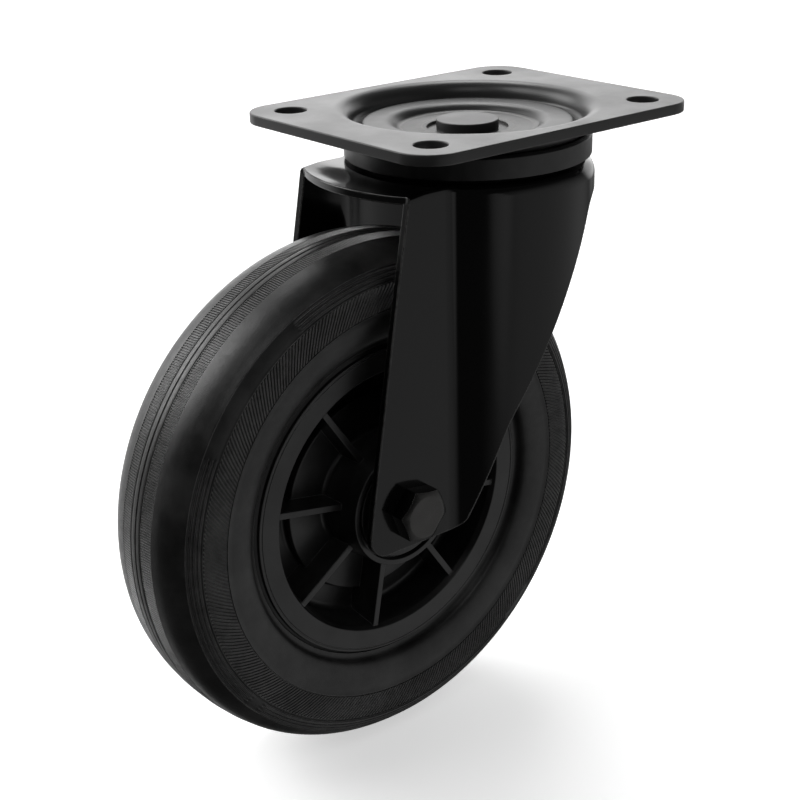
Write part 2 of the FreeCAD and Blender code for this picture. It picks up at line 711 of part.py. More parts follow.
def build_roller_cage():
    """The plastic cage: a tube with one pocket for each roller."""
    half = f"({HUB_SHOULDER} - Size.cage_end_gap)"
    outer = plain_cylinder("cage_blank", f"{ROLLER_CIRCLE} + Size.cage_wall / 2", f"2 * {half}", f"-{half}")
    bore = plain_cylinder("cage_bore", f"{ROLLER_CIRCLE} - Size.cage_wall / 2", f"4 * {half}", f"-2 * {half}")
    tube = cut("cage_tube", outer, bore)
    clearance = size("Size.cage_pocket_clearance")
    pockets = roller_ring(size("Size.roller_radius") + clearance, size(ROLLER_LENGTH) + 2 * clearance)
    return on_axle(cut("roller_cage", tube, feature("cage_pockets", pockets)))


def build_hub_disc(name, turn):
    """A plastic disc in the hub's end, with a boss that reaches towards the leg."""
    inner = f"({HUB_SHOULDER} + Size.press_gap)"
    face = f"({HUB_HALF_LENGTH} - Size.disc_inset)"
    tip = f"({LEG_INSIDE} - Size.disc_gap)"
    bore = "(Size.sleeve_radius + Size.disc_bore_clearance)"
    rim = f"({HUB_MOUTH} - Size.press_gap)"
    body = new_body(name)
    revolve(body, f"{name}_turned", [
        (bore, inner),
        (rim, inner),
        (rim, face),
        ("Size.disc_boss_radius", face),
        ("Size.disc_boss_radius", tip),
        (bore, tip),
    ])
    return on_axle(body, turn=turn)


def build_wheel_centre():
    """Hub, web and flanged rim turned in one section, with ribs from hub to rim on both sides."""
    upper = [
        (HUB_BORE, HUB_SHOULDER),
        (HUB_MOUTH, HUB_SHOULDER),
        (HUB_MOUTH, HUB_HALF_LENGTH),
        ("Size.hub_radius", HUB_HALF_LENGTH),
        ("Size.hub_root_radius", "Size.web_boss_half_width"),
        ("Size.web_boss_radius", "Size.web_boss_half_width"),
        ("Size.web_boss_radius", "Size.web_half_width"),
        ("Size.seat_radius - Size.barrel_root_wall", "Size.web_half_width"),
        ("Size.seat_radius - Size.barrel_mouth_wall", FLANGE_BACK),
        (FLANGE_INNER, FLANGE_HALF_WIDTH),
        (f"{FLANGE_RADIUS} - Size.flange_edge", FLANGE_HALF_WIDTH),
        (FLANGE_RADIUS, f"{FLANGE_HALF_WIDTH} - Size.flange_edge"),
        (FLANGE_RADIUS, FLANGE_BACK),
        ("Size.seat_radius", FLANGE_BACK),
    ]
    lower = [(radius, f"-{height}") for radius, height in reversed(upper)]
    body = new_body("wheel_centre")
    revolve(body, "wheel_section", upper + lower)
    doc.recompute()
    rib_sketch = new_sketch(body, "rib_outline", "XZ_Plane")
    inner = f"(({HUB_BORE} + Size.hub_radius) / 2)"
    outer = "(Size.seat_radius - Size.rib_end_cover)"
    side = f"({FLANGE_HALF_WIDTH} - Size.rib_below_flange)"
    add_outline(rib_sketch, [(inner, f"-{side}"), (outer, f"-{side}"), (outer, side), (inner, side)])
    rib = body.newObject("PartDesign::Pad", "rib")
    rib.Profile = rib_sketch
    rib.SideType = "Symmetric"
    bind(rib, Length="Size.rib_thickness")
    doc.recompute()
    ribs = body.newObject("PartDesign::PolarPattern", "ribs")
    ribs.Originals = [rib]
    axis = next(item for item in body.Origin.OriginFeatures if item.Role == "Z_Axis")
    ribs.Axis = (axis, [""])
    ribs.Angle = 360
    bind(ribs, Occurrences="Size.rib_count")
    body.Tip = ribs
    return on_axle(body, spin=size("Size.rib_phase"))


def build_tyre():
    """The rubber tyre: a slightly crowned tread, round shoulders, full sidewalls and beads."""
    gap = "Size.press_gap"
    seat_half = f"({FLANGE_BACK} - {gap})"
    lip = f"({FLANGE_RADIUS} + {gap})"
    edge = f"({WHEEL_RADIUS} - Size.tread_crown)"
    wall = "(Size.tyre_width / 2 - Size.sidewall_inset)"
    band = "(Size.tyre_width / 2 - Size.band_inset)"
    tread = f"((pow({TREAD_HALF_WIDTH}; 2) + pow(Size.tread_crown; 2)) / (2 * Size.tread_crown))"
    outer_lip = "(Size.tread_groove + Size.tread_groove_half_width)"
    inner_lip = "(Size.tread_groove - Size.tread_groove_half_width)"
    groove_top = f"({WHEEL_RADIUS} - pow(Size.tread_groove; 2) / (2 * {tread}))"
    upper = [
        (groove_top, inner_lip, tread, 1),
        (f"{groove_top} - Size.tread_groove_depth", "Size.tread_groove"),
        (groove_top, outer_lip),
        (edge, TREAD_HALF_WIDTH, tread, 1),
        (SIDEWALL_RADIUS, wall, "Size.shoulder_arc", 1),
        (f"{SIDEWALL_RADIUS} - Size.band_edge", f"({wall} - Size.band_depth)"),
        (f"{BAND_RADIUS} + Size.band_edge", f"({band} - Size.band_depth)"),
        (BAND_RADIUS, band),
        (BEAD_RADIUS, "(Size.tyre_width / 2 - Size.bead_inset)", "Size.sidewall_arc", 1),
        (f"{FLANGE_RADIUS} + Size.bead_groove_over_flange", "(Size.tyre_width / 2 - Size.bead_groove_inset)"),
        (lip, seat_half),
        (f"Size.seat_radius + {gap}", seat_half),
    ]
    body = new_body("tyre")
    revolve(body, "tyre_section", mirrored(upper))
    return on_axle(body)


nodes = [
    build_top_plate(),
    build_king_pin(),
    build_lower_race(),
    build_dust_seal(),
    build_ball_row("upper", UPPER_BALL_CENTRE),
    build_ball_row("lower", LOWER_BALL_CENTRE),
    build_fork(),
    build_axle_bolt(),
    build_axle_nut(),
    build_nut_insert(),
    build_axle_sleeve(),
    build_roller_cage(),
    build_rollers(),
    build_hub_disc("hub_disc_near", 90),
    build_hub_disc("hub_disc_far", -90),
    build_wheel_centre(),
    build_tyre(),
]
doc.recompute()

for item in doc.Objects:
    if "Invalid" in item.State or "Error" in item.State:
        raise RuntimeError(f"{item.Label} failed: {item.State}")
os.makedirs("parts", exist_ok=True)
for node in nodes:
    if node.Shape.isNull() or not node.Shape.isValid():
        raise RuntimeError(f"{node.Label} has no valid shape")
for node in nodes:
    node.Shape.exportStep(f"parts/{node.Label}.step")
    print(f"{node.Label}: {len(node.Shape.Solids)} solid, {node.Shape.Volume / 1000:.2f} cm3")
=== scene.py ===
"""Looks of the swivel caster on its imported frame. Sizes are in millimetres unless said otherwise."""
import json
import math
import bpy
from mathutils import Matrix, Vector
from mathutils.geometry import delaunay_2d_cdt


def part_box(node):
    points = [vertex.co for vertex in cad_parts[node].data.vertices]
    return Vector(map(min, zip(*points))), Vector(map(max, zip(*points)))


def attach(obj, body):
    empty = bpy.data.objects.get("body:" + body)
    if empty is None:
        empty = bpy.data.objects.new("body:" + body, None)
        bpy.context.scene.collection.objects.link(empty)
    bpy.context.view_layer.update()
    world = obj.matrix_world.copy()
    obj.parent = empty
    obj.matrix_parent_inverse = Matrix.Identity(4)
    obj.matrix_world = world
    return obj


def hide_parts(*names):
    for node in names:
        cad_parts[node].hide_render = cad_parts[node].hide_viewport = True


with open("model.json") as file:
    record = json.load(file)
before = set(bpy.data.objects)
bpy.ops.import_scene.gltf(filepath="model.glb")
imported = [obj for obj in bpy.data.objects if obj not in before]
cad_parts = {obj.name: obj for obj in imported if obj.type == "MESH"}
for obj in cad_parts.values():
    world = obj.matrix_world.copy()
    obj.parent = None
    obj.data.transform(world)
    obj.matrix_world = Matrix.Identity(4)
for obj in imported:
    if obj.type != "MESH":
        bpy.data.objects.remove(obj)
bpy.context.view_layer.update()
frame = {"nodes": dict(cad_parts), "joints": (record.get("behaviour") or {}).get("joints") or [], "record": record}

MM = 0.001
UP = Vector((0, 0, 1))
JOINTS = {joint["name"]: Vector(joint["pos_m"]) / MM for joint in frame["joints"]}
AXLE = JOINTS["wheel_spin"]


def node_box(name):
    """The lowest and highest corner of a node, in millimetres."""
    low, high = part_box(name)
    return low / MM, high / MM


PLATE_HIGH = node_box("top_plate")[1]
SEAL_LOW, SEAL_HIGH = node_box("dust_seal")
FORK_LOW, FORK_HIGH = node_box("fork")
PIN_LOW, PIN_HIGH = node_box("king_pin")
BOLT_LOW, BOLT_HIGH = node_box("axle_bolt")
NUT_HIGH = node_box("axle_nut")[1]
RACE_LOW, RACE_HIGH = node_box("lower_race")
TYRE_LOW = node_box("tyre")[0]
DISC_LOW = node_box("hub_disc_near")[0]

# plate and dish
PLATE_THICKNESS = 4
PLATE_CORNER = 14
PLATE_EDGE = 0.45
HOLE_INSET = 15
HOLE_RADIUS = 6
DISH_MOUTH = 50
DISH_LIP = 6.2
DISH_FOOT = 1.8
GROOVE_DEPTH = 7
TRACK_DEPTH = 5.2
HOLLOW_MOUTH = 31.5
HOLLOW_LIP = 6
HOLLOW_FOOT = 2.2
SEAT_DEPTH = 7.8
SEAT_RADIUS = 15.4
SEAT_STEP = 1.1
PIN_COLLAR = -13
PIN_SHANK = 8
PIN_NECK = 9.9
RACE_FLOOR = 4
RACE_BORE = 8.1
BALL_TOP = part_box("upper_balls")[1].z / MM + 0.03

# fork
CROWN_TOP = FORK_HIGH.z
SHEET = 3
DRUM = 48
LEG_FACE = 31.75
LEG_BEND = 8
TOP_BEND = 6.4
REAR_BEND = 1.9
REAR_TOP = 55.4
REAR_LOW = 78.3
REAR_BOW = 0.4
LEG_BOTTOM = FORK_LOW.z
TOE = 34
KNEE = (-19, -110)
BROW = (24.9, -31)
LIP = 7.2
EDGE = 0.5
CROWN_BORE = 10.4
AXLE_HOLE = 6.3
CLEARANCE = 0.7
DROOP = 1.1
DROOP_BACK = 46.5
DROOP_LOW = -60


def arc(centre, radius, first, last, step):
    """Points of an arc in a plane, with angles in degrees."""
    count = max(1, math.ceil(abs(last - first) / step))
    points = []
    for index in range(count + 1):
        angle = math.radians(first + (last - first) * index / count)
        points.append((centre[0] + radius * math.cos(angle), centre[1] + radius * math.sin(angle)))
    return points


def rounded(corners, step=12, hold=0.12, closed=False):
    """A line through corners (x, y) or (x, y, radius), with an arc in place of each rounded corner.

    A point just outside each arc's ends keeps the flats beside it flat.
    """
    points = []
    count = len(corners)
    for index, corner in enumerate(corners):
        here = Vector(corner[:2])
        radius = corner[2] if len(corner) > 2 else 0
        if radius == 0 or (not closed and index in (0, count - 1)):
            points.append(tuple(here))
            continue
        before = Vector(corners[index - 1][:2]) - here
        after = Vector(corners[(index + 1) % count][:2]) - here
        room = min(before.length, after.length)
        before.normalize()
        after.normalize()
        half = before.angle(after) / 2
        if half > math.radians(89.5):
            points.append(tuple(here))
            continue
        reach = radius / math.tan(half)
        centre = here + (before + after).normalized() * radius / math.sin(half)
        first = here + before * reach - centre
        turn = math.degrees(first.angle_signed(here + after * reach - centre))
        start = math.degrees(math.atan2(first.y, first.x))
        if room > reach + hold:
            points.append(tuple(here + before * (reach + hold)))
        points += arc(centre, radius, start, start - turn, step)
        if room > reach + hold:
            points.append(tuple(here + after * (reach + hold)))
    return points


def add_object(name, data):
    """A new object in the scene."""
    obj = bpy.data.objects.new(name, data)
    bpy.context.scene.collection.objects.link(obj)
    return obj


def new_object(name, points, faces, normals=None, sharp=None):
    """A mesh object from points in millimetres. Flats meet sharply above the sharp angle."""
    mesh = bpy.data.meshes.new(name)
    mesh.from_pydata([tuple(component * MM for component in point) for point in points], [], faces)
    mesh.validate()
    mesh.polygons.foreach_set("use_smooth", [True] * len(mesh.polygons))
    if normals:
        mesh.normals_split_custom_set_from_vertices(normals)
    else:
        mesh.set_sharp_from_angle(angle=math.radians(sharp))
    mesh.update()
    return add_object(name, mesh)


class Builder:
    """Collects the points and faces of one object."""

    def __init__(self):
        self.points = []
        self.faces = []

    def grid(self, rows, wrap=True, flip=False):
        """Join rows of points with four-cornered faces."""
        start = len(self.points)
        width = len(rows[0])
        for row in rows:
            self.points += row
        across = width if wrap else width - 1
        for row in range(len(rows) - 1):
            for column in range(across):
                after = (column + 1) % width
                low = start + row * width
                face = (low + column, low + after, low + width + after, low + width + column)
                self.faces.append(face[::-1] if flip else face)

    def disc(self, row, flip=False):
        """Close a row of points with one face."""
        start = len(self.points)
        self.points += row
        face = tuple(range(start, start + len(row)))
        self.faces.append(face[::-1] if flip else face)

    def flat(self, loops, flip=False):
        """Fill the flat area, at one height, inside the first loop and outside the others."""
        points, triangles = fill(loops)
        base = len(self.points)
        height = loops[0][0][2]
        self.points += [(point.x, point.y, height) for point in points]
        for triangle in triangles:
            face = tuple(base + index for index in triangle)
            self.faces.append(face[::-1] if flip else face)

    def build(self, name, sharp):
        """The finished object."""
        return new_object(name, self.points, self.faces, sharp=sharp)


def inside(point, loop):
    """Whether a point lies inside a closed loop, in the XY plane."""
    crossings = 0
    for first, second in zip(loop, loop[1:] + loop[:1]):
        if (first[1] > point[1]) != (second[1] > point[1]):
            reach = (second[0] - first[0]) * (point[1] - first[1]) / (second[1] - first[1]) + first[0]
            crossings += point[0] < reach
    return crossings % 2 == 1


def round_pin(radius, angle, height):
    """The point at a radius and an angle about the king pin."""
    return (radius * math.cos(angle), radius * math.sin(angle), height)


def round_axle(radius, angle, height):
    """The point at a radius and an angle about the axle, at a height along it."""
    return (AXLE.x + radius * math.cos(angle), height, AXLE.z + radius * math.sin(angle))


def ring(radius, height, count, place=round_pin):
    """A circle of points."""
    return [place(radius, 2 * math.pi * index / count, height) for index in range(count)]


def lathe(name, section, count, place=round_pin, flip=False):
    """Turn a section of (radius, height) points about the king pin or the axle."""
    builder = Builder()
    turn_section(builder, section, count, place, flip)
    return builder.build(name, sharp=35)


def turn_section(builder, section, count, place=round_pin, flip=False):
    """Add a turned section to a builder, with a single face where the section ends on its axis."""
    if place is round_pin:
        flip = not flip
    rows = [ring(radius, height, count, place) for radius, height in section if radius > 1e-4]
    builder.grid(rows, flip=flip)
    if section[0][0] <= 1e-4:
        builder.disc(rows[0], flip=not flip)
    if section[-1][0] <= 1e-4:
        builder.disc(rows[-1], flip=flip)


def press_step(start, rise, first, second, count):
    """Points of two tangent arcs that lead inward from one level of a pressed sheet to another."""
    total = first + second
    way = math.copysign(1, rise)
    whole = math.acos(1 - abs(rise) / total)
    run = math.sqrt(abs(rise) * (2 * total - abs(rise)))
    end = (start[0] - run, start[1] + rise)
    points = []
    for index in range(count + 1):
        angle = whole * index / count
        points.append((start[0] - first * math.sin(angle), start[1] + way * first * (1 - math.cos(angle))))
    for index in range(1, count + 1):
        angle = whole * (1 - index / count)
        points.append((end[0] + second * math.sin(angle), end[1] - way * second * (1 - math.cos(angle))))
    return points


def dish_line():
    """The dish's section from its mouth over the ball track to the pin."""
    wall = press_step((DISH_MOUTH, 0), -GROOVE_DEPTH, DISH_LIP, DISH_FOOT, 10)
    edge = wall[-1][0] - 0.9
    track = press_step((edge, -GROOVE_DEPTH), GROOVE_DEPTH - TRACK_DEPTH, 1.2, 1.6, 5)
    level = -TRACK_DEPTH
    flat = [(track[-1][0] - 0.8, level), (HOLLOW_MOUTH + 2.5, level), (HOLLOW_MOUTH + 0.8, level)]
    hollow = press_step((HOLLOW_MOUTH, level), TRACK_DEPTH - SEAT_DEPTH, HOLLOW_LIP, HOLLOW_FOOT, 9)
    seat = -SEAT_DEPTH
    step = [(hollow[-1][0] - 0.8, seat), (SEAT_RADIUS + 0.6, seat), (SEAT_RADIUS + 0.15, seat - 0.05),
            (SEAT_RADIUS, seat - 0.15), (SEAT_RADIUS, seat - SEAT_STEP),
            (PIN_SHANK, seat - SEAT_STEP)]
    return wall + track + flat + hollow + step


def dish_underside():
    """The underside of the dish, which rises over the upper balls and comes down to the pin's collar."""
    wall = press_step((DISH_MOUTH, -PLATE_THICKNESS), -6.5, 3.5, 7.4, 10)
    level = wall[-1][1]
    return wall + rounded([(wall[-1][0] - 1, level), (28.5, level, 3), (25.5, BALL_TOP, 2),
                           (16.5, BALL_TOP, 2), (14, PIN_COLLAR, 1), (PIN_SHANK, PIN_COLLAR)])


def plate_outline(inset, height):
    """The plate's outline, moved in by an inset, as points at a height, anticlockwise."""
    points = []
    for turn, (x, y) in enumerate(((1, 1), (-1, 1), (-1, -1), (1, -1))):
        centre = (x * (PLATE_HIGH.x - PLATE_CORNER), y * (PLATE_HIGH.y - PLATE_CORNER))
        corner = arc(centre, PLATE_CORNER - inset, 90 * turn, 90 * turn + 90, 6)
        points += [(px, py, height) for px, py in corner]
    return points


def edge_profile(edge, thickness, steps=3):
    """Inset and depth of points round a sheet's edge, from its top face to its bottom face."""
    upper = arc((edge, edge), edge, -90, -180, 90 / steps)
    return upper + [(inset, thickness - depth) for inset, depth in reversed(upper)]


def build_plate():
    """The pressed plate, with rounded edges round its outline and its holes."""
    builder = Builder()
    count = 288
    hold = PLATE_EDGE + 0.35
    profile = [(hold, 0)] + edge_profile(PLATE_EDGE, PLATE_THICKNESS) + [(hold, PLATE_THICKNESS)]
    outline = [plate_outline(inset, -depth) for inset, depth in profile]
    builder.grid(outline, flip=True)
    holes = []
    for x in (-1, 1):
        for y in (-1, 1):
            middle = Vector((x * (PLATE_HIGH.x - HOLE_INSET), y * (PLATE_HIGH.y - HOLE_INSET), 0))
            rows = [[tuple(middle + Vector(point)) for point in ring(HOLE_RADIUS + inset, -depth, 72)]
                    for inset, depth in profile]
            builder.grid(rows)
            holes.append(rows)
    mouth = DISH_MOUTH + 0.5
    for index, depth in ((0, 0), (-1, PLATE_THICKNESS)):
        loops = [outline[index]] + [rows[index] for rows in holes] + [ring(mouth, -depth, count)]
        builder.flat(loops, flip=index == -1)
    turn_section(builder, [(mouth, 0)] + dish_line(), count, flip=True)
    turn_section(builder, [(mouth, -PLATE_THICKNESS)] + dish_underside(), count)
    return builder.build("plate_visual", sharp=35)


def plan_lengths():
    """Values of the fork's plan: blend centre, drum angle, and where the blend and leg begin."""
    reach = math.sqrt((DRUM + LEG_BEND) ** 2 - (LEG_FACE + LEG_BEND) ** 2)
    centre = Vector((-reach, -(LEG_FACE + LEG_BEND)))
    drum_angle = math.atan2(-centre.y, centre.x)
    blend_start = DRUM * drum_angle
    return centre, drum_angle, blend_start, blend_start + LEG_BEND * (drum_angle - math.pi / 2)


BLEND_CENTRE, DRUM_ANGLE, BLEND_START, LEG_START = plan_lengths()


def plan(length):
    """Point and outward direction of the fork's outside, at a length along it from the front, near half."""
    if length <= BLEND_START:
        angle = length / DRUM
        out = Vector((math.cos(angle), -math.sin(angle)))
        return out * DRUM, out
    if length <= LEG_START:
        angle = DRUM_ANGLE - (length - BLEND_START) / LEG_BEND
        out = Vector((math.cos(angle), -math.sin(angle)))
        return BLEND_CENTRE - out * LEG_BEND, out
    return Vector((BLEND_CENTRE.x - (length - LEG_START), -LEG_FACE)), Vector((0, -1))


def plan_length(x):
    """Length along the fork's plan at which it reaches x."""
    drum_end = DRUM * math.cos(DRUM_ANGLE)
    if x >= drum_end:
        return DRUM * math.acos(min(1, x / DRUM))
    if x >= BLEND_CENTRE.x:
        cosine = (BLEND_CENTRE.x - x) / LEG_BEND
        return BLEND_START + LEG_BEND * (DRUM_ANGLE - math.acos(max(-1, min(1, cosine))))
    return LEG_START + BLEND_CENTRE.x - x


WALL_TOP = CROWN_TOP - TOP_BEND
BEND_LENGTH = 10


def smooth(value, reach):
    """A smooth step from 0 to 1 while a value goes from 0 to its reach."""
    share = min(1, max(0, value / reach))
    return share * share * (3 - 2 * share)


def top_bend(length):
    """Radius of the bend between wall and crown, large round the drum and small at the leg's rear edge."""
    start = 0.6 * BLEND_START
    return TOP_BEND + (REAR_BEND - TOP_BEND) * smooth(length - start, LEG_START + 6 - start)


def skin(length, up, depth):
    """Point, normal and two tangents of the fork's wall and top bend, at a depth in the sheet.

    Up is negative down the wall, and grows over the bend to BEND_LENGTH at the crown's flat.
    """
    point, out = plan(length)
    along = Vector((out.y, -out.x, 0))
    out3 = out.to_3d()
    base = point.to_3d()
    radius = top_bend(length)
    upright = TOP_BEND - radius
    travel = up / BEND_LENGTH * (upright + radius * math.pi / 2) if up > 0 else up
    if travel <= upright:
        base.z = WALL_TOP + travel
        return base - out3 * depth, out3, along, UP
    angle = (travel - upright) / radius
    base.z = CROWN_TOP - radius
    normal = out3 * math.cos(angle) + Vector((0, 0, math.sin(angle)))
    rising = Vector((0, 0, math.cos(angle))) - out3 * math.sin(angle)
    inner = max(0, radius - depth)
    centre = base - out3 * radius
    if depth > radius:
        centre += (Vector((0, 0, -1)) - out3) * (depth - radius)
    return centre + normal * inner, normal, along, rising


def droop(point, normal):
    """Lower the crown's rear a little, and turn its normals to match."""
    def fall(x, z):
        return DROOP * smooth(-DROOP_BACK - x, 12) * smooth(z - DROOP_LOW, 38)

    small = 0.01
    slope_x = (fall(point.x + small, point.z) - fall(point.x - small, point.z)) / (2 * small)
    slope_z = (fall(point.x, point.z + small) - fall(point.x, point.z - small)) / (2 * small)
    stretch = 1 - slope_z
    turned = Vector((normal.x + slope_x / stretch * normal.z, normal.y, normal.z / stretch)).normalized()
    return Vector((point.x, point.y, point.z - fall(point.x, point.z))), turned


def rear_x(height):
    """Where the fork's rear edge is at a height."""
    share = (CROWN_TOP - height) / (CROWN_TOP - LEG_BOTTOM)
    return -REAR_TOP - (REAR_LOW - REAR_TOP) * share - REAR_BOW * 4 * share * (1 - share)


def fork_side():
    """The fork's side outline, from the crown down the rear edge and round to the front, as (x, z)."""
    heights = [CROWN_TOP + (LEG_BOTTOM - CROWN_TOP) * index / 24 for index in range(24)]
    rear = [(rear_x(height), height) for height in heights]
    corners = rear[1:-1] + [(-REAR_LOW, LEG_BOTTOM, 8), (-TOE, LEG_BOTTOM, 7), (*KNEE, 60), (*BROW, 12),
                            (DRUM, BROW[1])]
    return rounded([rear[0]] + corners, step=6, hold=1.2)


def fine(line, longest):
    """A line with extra points, so that no step is longer than the value given."""
    points = [line[0]]
    for first, second in zip(line, line[1:]):
        first, second = Vector(first), Vector(second)
        count = max(1, math.ceil((second - first).length / longest))
        points += [tuple(first.lerp(second, index / count)) for index in range(1, count + 1)]
    return points


def outward(line):
    """The direction to the right of a line at each of its points."""
    sides = []
    for index in range(len(line)):
        before = Vector(line[max(0, index - 1)])
        after = Vector(line[min(len(line) - 1, index + 1)])
        way = (after - before).normalized()
        sides.append(Vector((-way.y, way.x)))
    return sides


def moved_in(line, sides):
    """A line moved into the sheet by the radius of its edge."""
    return [(x - way.x * EDGE, y - way.y * EDGE) for (x, y), way in zip(line, sides)]


class ForkBuilder:
    """Collects the fork's points with a normal for each, and mirrors them to the far side."""

    def __init__(self):
        self.points = []
        self.normals = []
        self.faces = []

    def add(self, point, normal):
        """Add a point on both sides and return the near one's number."""
        point, normal = droop(point, normal)
        for side in (1, -1):
            self.points.append((point.x, side * point.y, point.z))
            self.normals.append((normal.x, side * normal.y, normal.z))
        return len(self.points) - 2

    def face(self, corners, out):
        """Add a face on both sides, turned so that it faces the direction given."""
        first, second, third = (Vector(self.points[corners[index]]) for index in (0, 1, 2))
        if (second - first).cross(third - first).dot(out) < 0:
            corners = corners[::-1]
        self.faces.append(tuple(corners))
        self.faces.append(tuple(corner + 1 for corner in reversed(corners)))

    def add_skins(self, points, triangles, shape):
        """Add both faces of the sheet. Shape gives the point and the skin's normal at a depth."""
        for depth, facing in ((0, 1), (SHEET, -1)):
            numbers = []
            for place in points:
                point, normal = shape(*place, depth)
                numbers.append(self.add(point, normal * facing))
            for triangle in triangles:
                corners = [numbers[index] for index in triangle]
                self.face(corners, Vector(self.normals[corners[0]]))

    def add_edge(self, line, sides, shape):
        """Add the sheet's rounded edge along a line.

        Shape gives the point, the skin's normal and the way out of the sheet at an inset and a depth.
        """
        rings = []
        for inset_by, depth in edge_profile(EDGE, SHEET, 4):
            turn = math.asin(min(1, max(0, 1 - inset_by / EDGE)))
            numbers = []
            for place, way in zip(line, sides):
                point, normal, out = shape(*place, way, inset_by, depth)
                normal = normal if depth < SHEET / 2 else -normal
                numbers.append(self.add(point, out * math.sin(turn) + normal * math.cos(turn)))
            rings.append(numbers)
        for first, second in zip(rings, rings[1:]):
            for index in range(len(first) - 1):
                corners = [first[index], first[index + 1], second[index + 1], second[index]]
                out = Vector(self.normals[first[index]]) + Vector(self.normals[second[index]])
                self.face(corners, out)


def fill(loops, inner=()):
    """Points and triangles inside the first flat loop and outside the others, with extra points inside."""
    def within(point):
        return inside(point, loops[0]) and not any(inside(point, loop) for loop in loops[1:])

    points = []
    edges = []
    for loop in loops:
        start = len(points)
        count = len(loop)
        points += [Vector(point[:2]) for point in loop]
        edges += [(start + index, start + (index + 1) % count) for index in range(count)]
    for point in inner:
        if within(point) and all(distance(point, loop) > CLEARANCE for loop in loops):
            points.append(Vector(point))
    result = delaunay_2d_cdt(points, edges, [], 0, 1e-6)
    triangles = []
    for face in result[2]:
        middle = sum((result[0][index] for index in face), Vector((0, 0))) / len(face)
        if within(middle):
            triangles.append(tuple(face))
    return result[0], triangles


def distance(point, loop):
    """Shortest distance from a point to a loop's corners and sides."""
    best = 1e9
    px, py = point
    for first, second in zip(loop, loop[1:] + loop[:1]):
        dx, dy = second[0] - first[0], second[1] - first[1]
        square = dx * dx + dy * dy
        share = 0 if square == 0 else max(0, min(1, ((px - first[0]) * dx + (py - first[1]) * dy) / square))
        best = min(best, math.hypot(first[0] + share * dx - px, first[1] + share * dy - py))
    return best


def lip_line():
    """The crown's free rear edge from the near corner to the middle, as (x, y)."""
    half = LEG_FACE - REAR_BEND
    points = []
    for index in range(25):
        y = -half * (1 - index / 24)
        points.append((-REAR_TOP - LIP * (1 - (y / half) ** 2), y))
    return points


def top_columns(rear_top):
    """Lengths along the fork's top at which its mesh has columns, from the front to the rear edge."""
    drum = [DRUM * DRUM_ANGLE * index / 48 for index in range(49)]
    blend = [BLEND_START + (LEG_START - BLEND_START) * index / 6 for index in range(1, 7)]
    leg = [LEG_START + offset for offset in (0.6, 3, 6, 9, 12)]
    return drum + blend + [value for value in leg if value < rear_top - 1]


def build_fork():
    """The drawn fork: outer and inner skin with true normals, and rounded edges all round."""
    builder = ForkBuilder()
    side = [(plan_length(x), z - WALL_TOP) for x, z in fine(fork_side(), 1.2) if z < WALL_TOP - 0.3]
    rear_top = plan_length(-REAR_TOP)
    bend_rows = [BEND_LENGTH * index / 6 for index in range(7)]
    rear = [(plan_length(rear_x(skin(rear_top, up, 0)[0].z)), up) for up in reversed(bend_rows)]
    edge_line = rear + side
    sides = outward(edge_line)
    columns = top_columns(rear_top)
    inset = moved_in(edge_line, sides)
    inset[0] = (rear_top - EDGE, BEND_LENGTH)
    inset[-1] = (0, inset[-1][1])
    front = [(0, up) for up in (-6, -3, *bend_rows[:-1])]
    loop = inset + front + [(value, BEND_LENGTH) for value in columns]
    rows = [-0.4 - 6.5 * index for index in range(21)] + bend_rows[:-1]
    lengths = columns + [LEG_START + offset for offset in (16, 20, 24, 28, 32, 36)]
    inner = [(value, up) for up in rows for value in lengths]
    axle = arc((plan_length(AXLE.x), AXLE.z - WALL_TOP), AXLE_HOLE, 0, 352.5, 7.5)
    builder.add_skins(*fill([loop, axle], inner),
                      lambda value, up, depth: skin(max(0, value), min(up, BEND_LENGTH), depth)[:2])

    def on_wall(value, up, way, inset_by, depth):
        place = (max(0, value - way.x * inset_by), min(up - way.y * inset_by, BEND_LENGTH))
        point, normal, along, rising = skin(*place, depth)
        return point, normal, along * way.x + rising * way.y

    builder.add_edge(edge_line, sides, on_wall)
    add_crown(builder, columns)
    return new_object("fork_visual", builder.points, builder.faces, builder.normals)


def add_crown(builder, columns):
    """Add the crown's flat top and underside and its free rear edge to the fork."""
    lip = lip_line()
    sides = outward(lip)
    sides[0] = Vector((-1, 0))
    sides[-1] = Vector((-1, 0))
    inner_edge = []
    for value in columns:
        point, out = plan(value)
        inner_edge.append(tuple(point - out * top_bend(value)))
    inset = moved_in(lip, sides)
    inset[0] = (-REAR_TOP + EDGE, lip[0][1])
    middle = [(value, 0) for value in range(-58, 45, 3)]
    loop = inner_edge + inset + middle
    inner = [(x, y) for x in range(-62, 46, 3) for y in range(-45, 0, 3)]
    points, triangles = fill([loop], inner)
    outside = [triangle for triangle in triangles
               if sum((points[index] for index in triangle), Vector((0, 0))).length / 3 > CROWN_BORE]
    builder.add_skins(points, outside, lambda x, y, depth: (Vector((x, y, CROWN_TOP - depth)), UP))

    def on_crown(x, y, way, inset_by, depth):
        out = Vector((way.x, way.y, 0))
        return Vector((x, y, CROWN_TOP - depth)) - out * inset_by, UP, out

    builder.add_edge(lip, sides, on_crown)


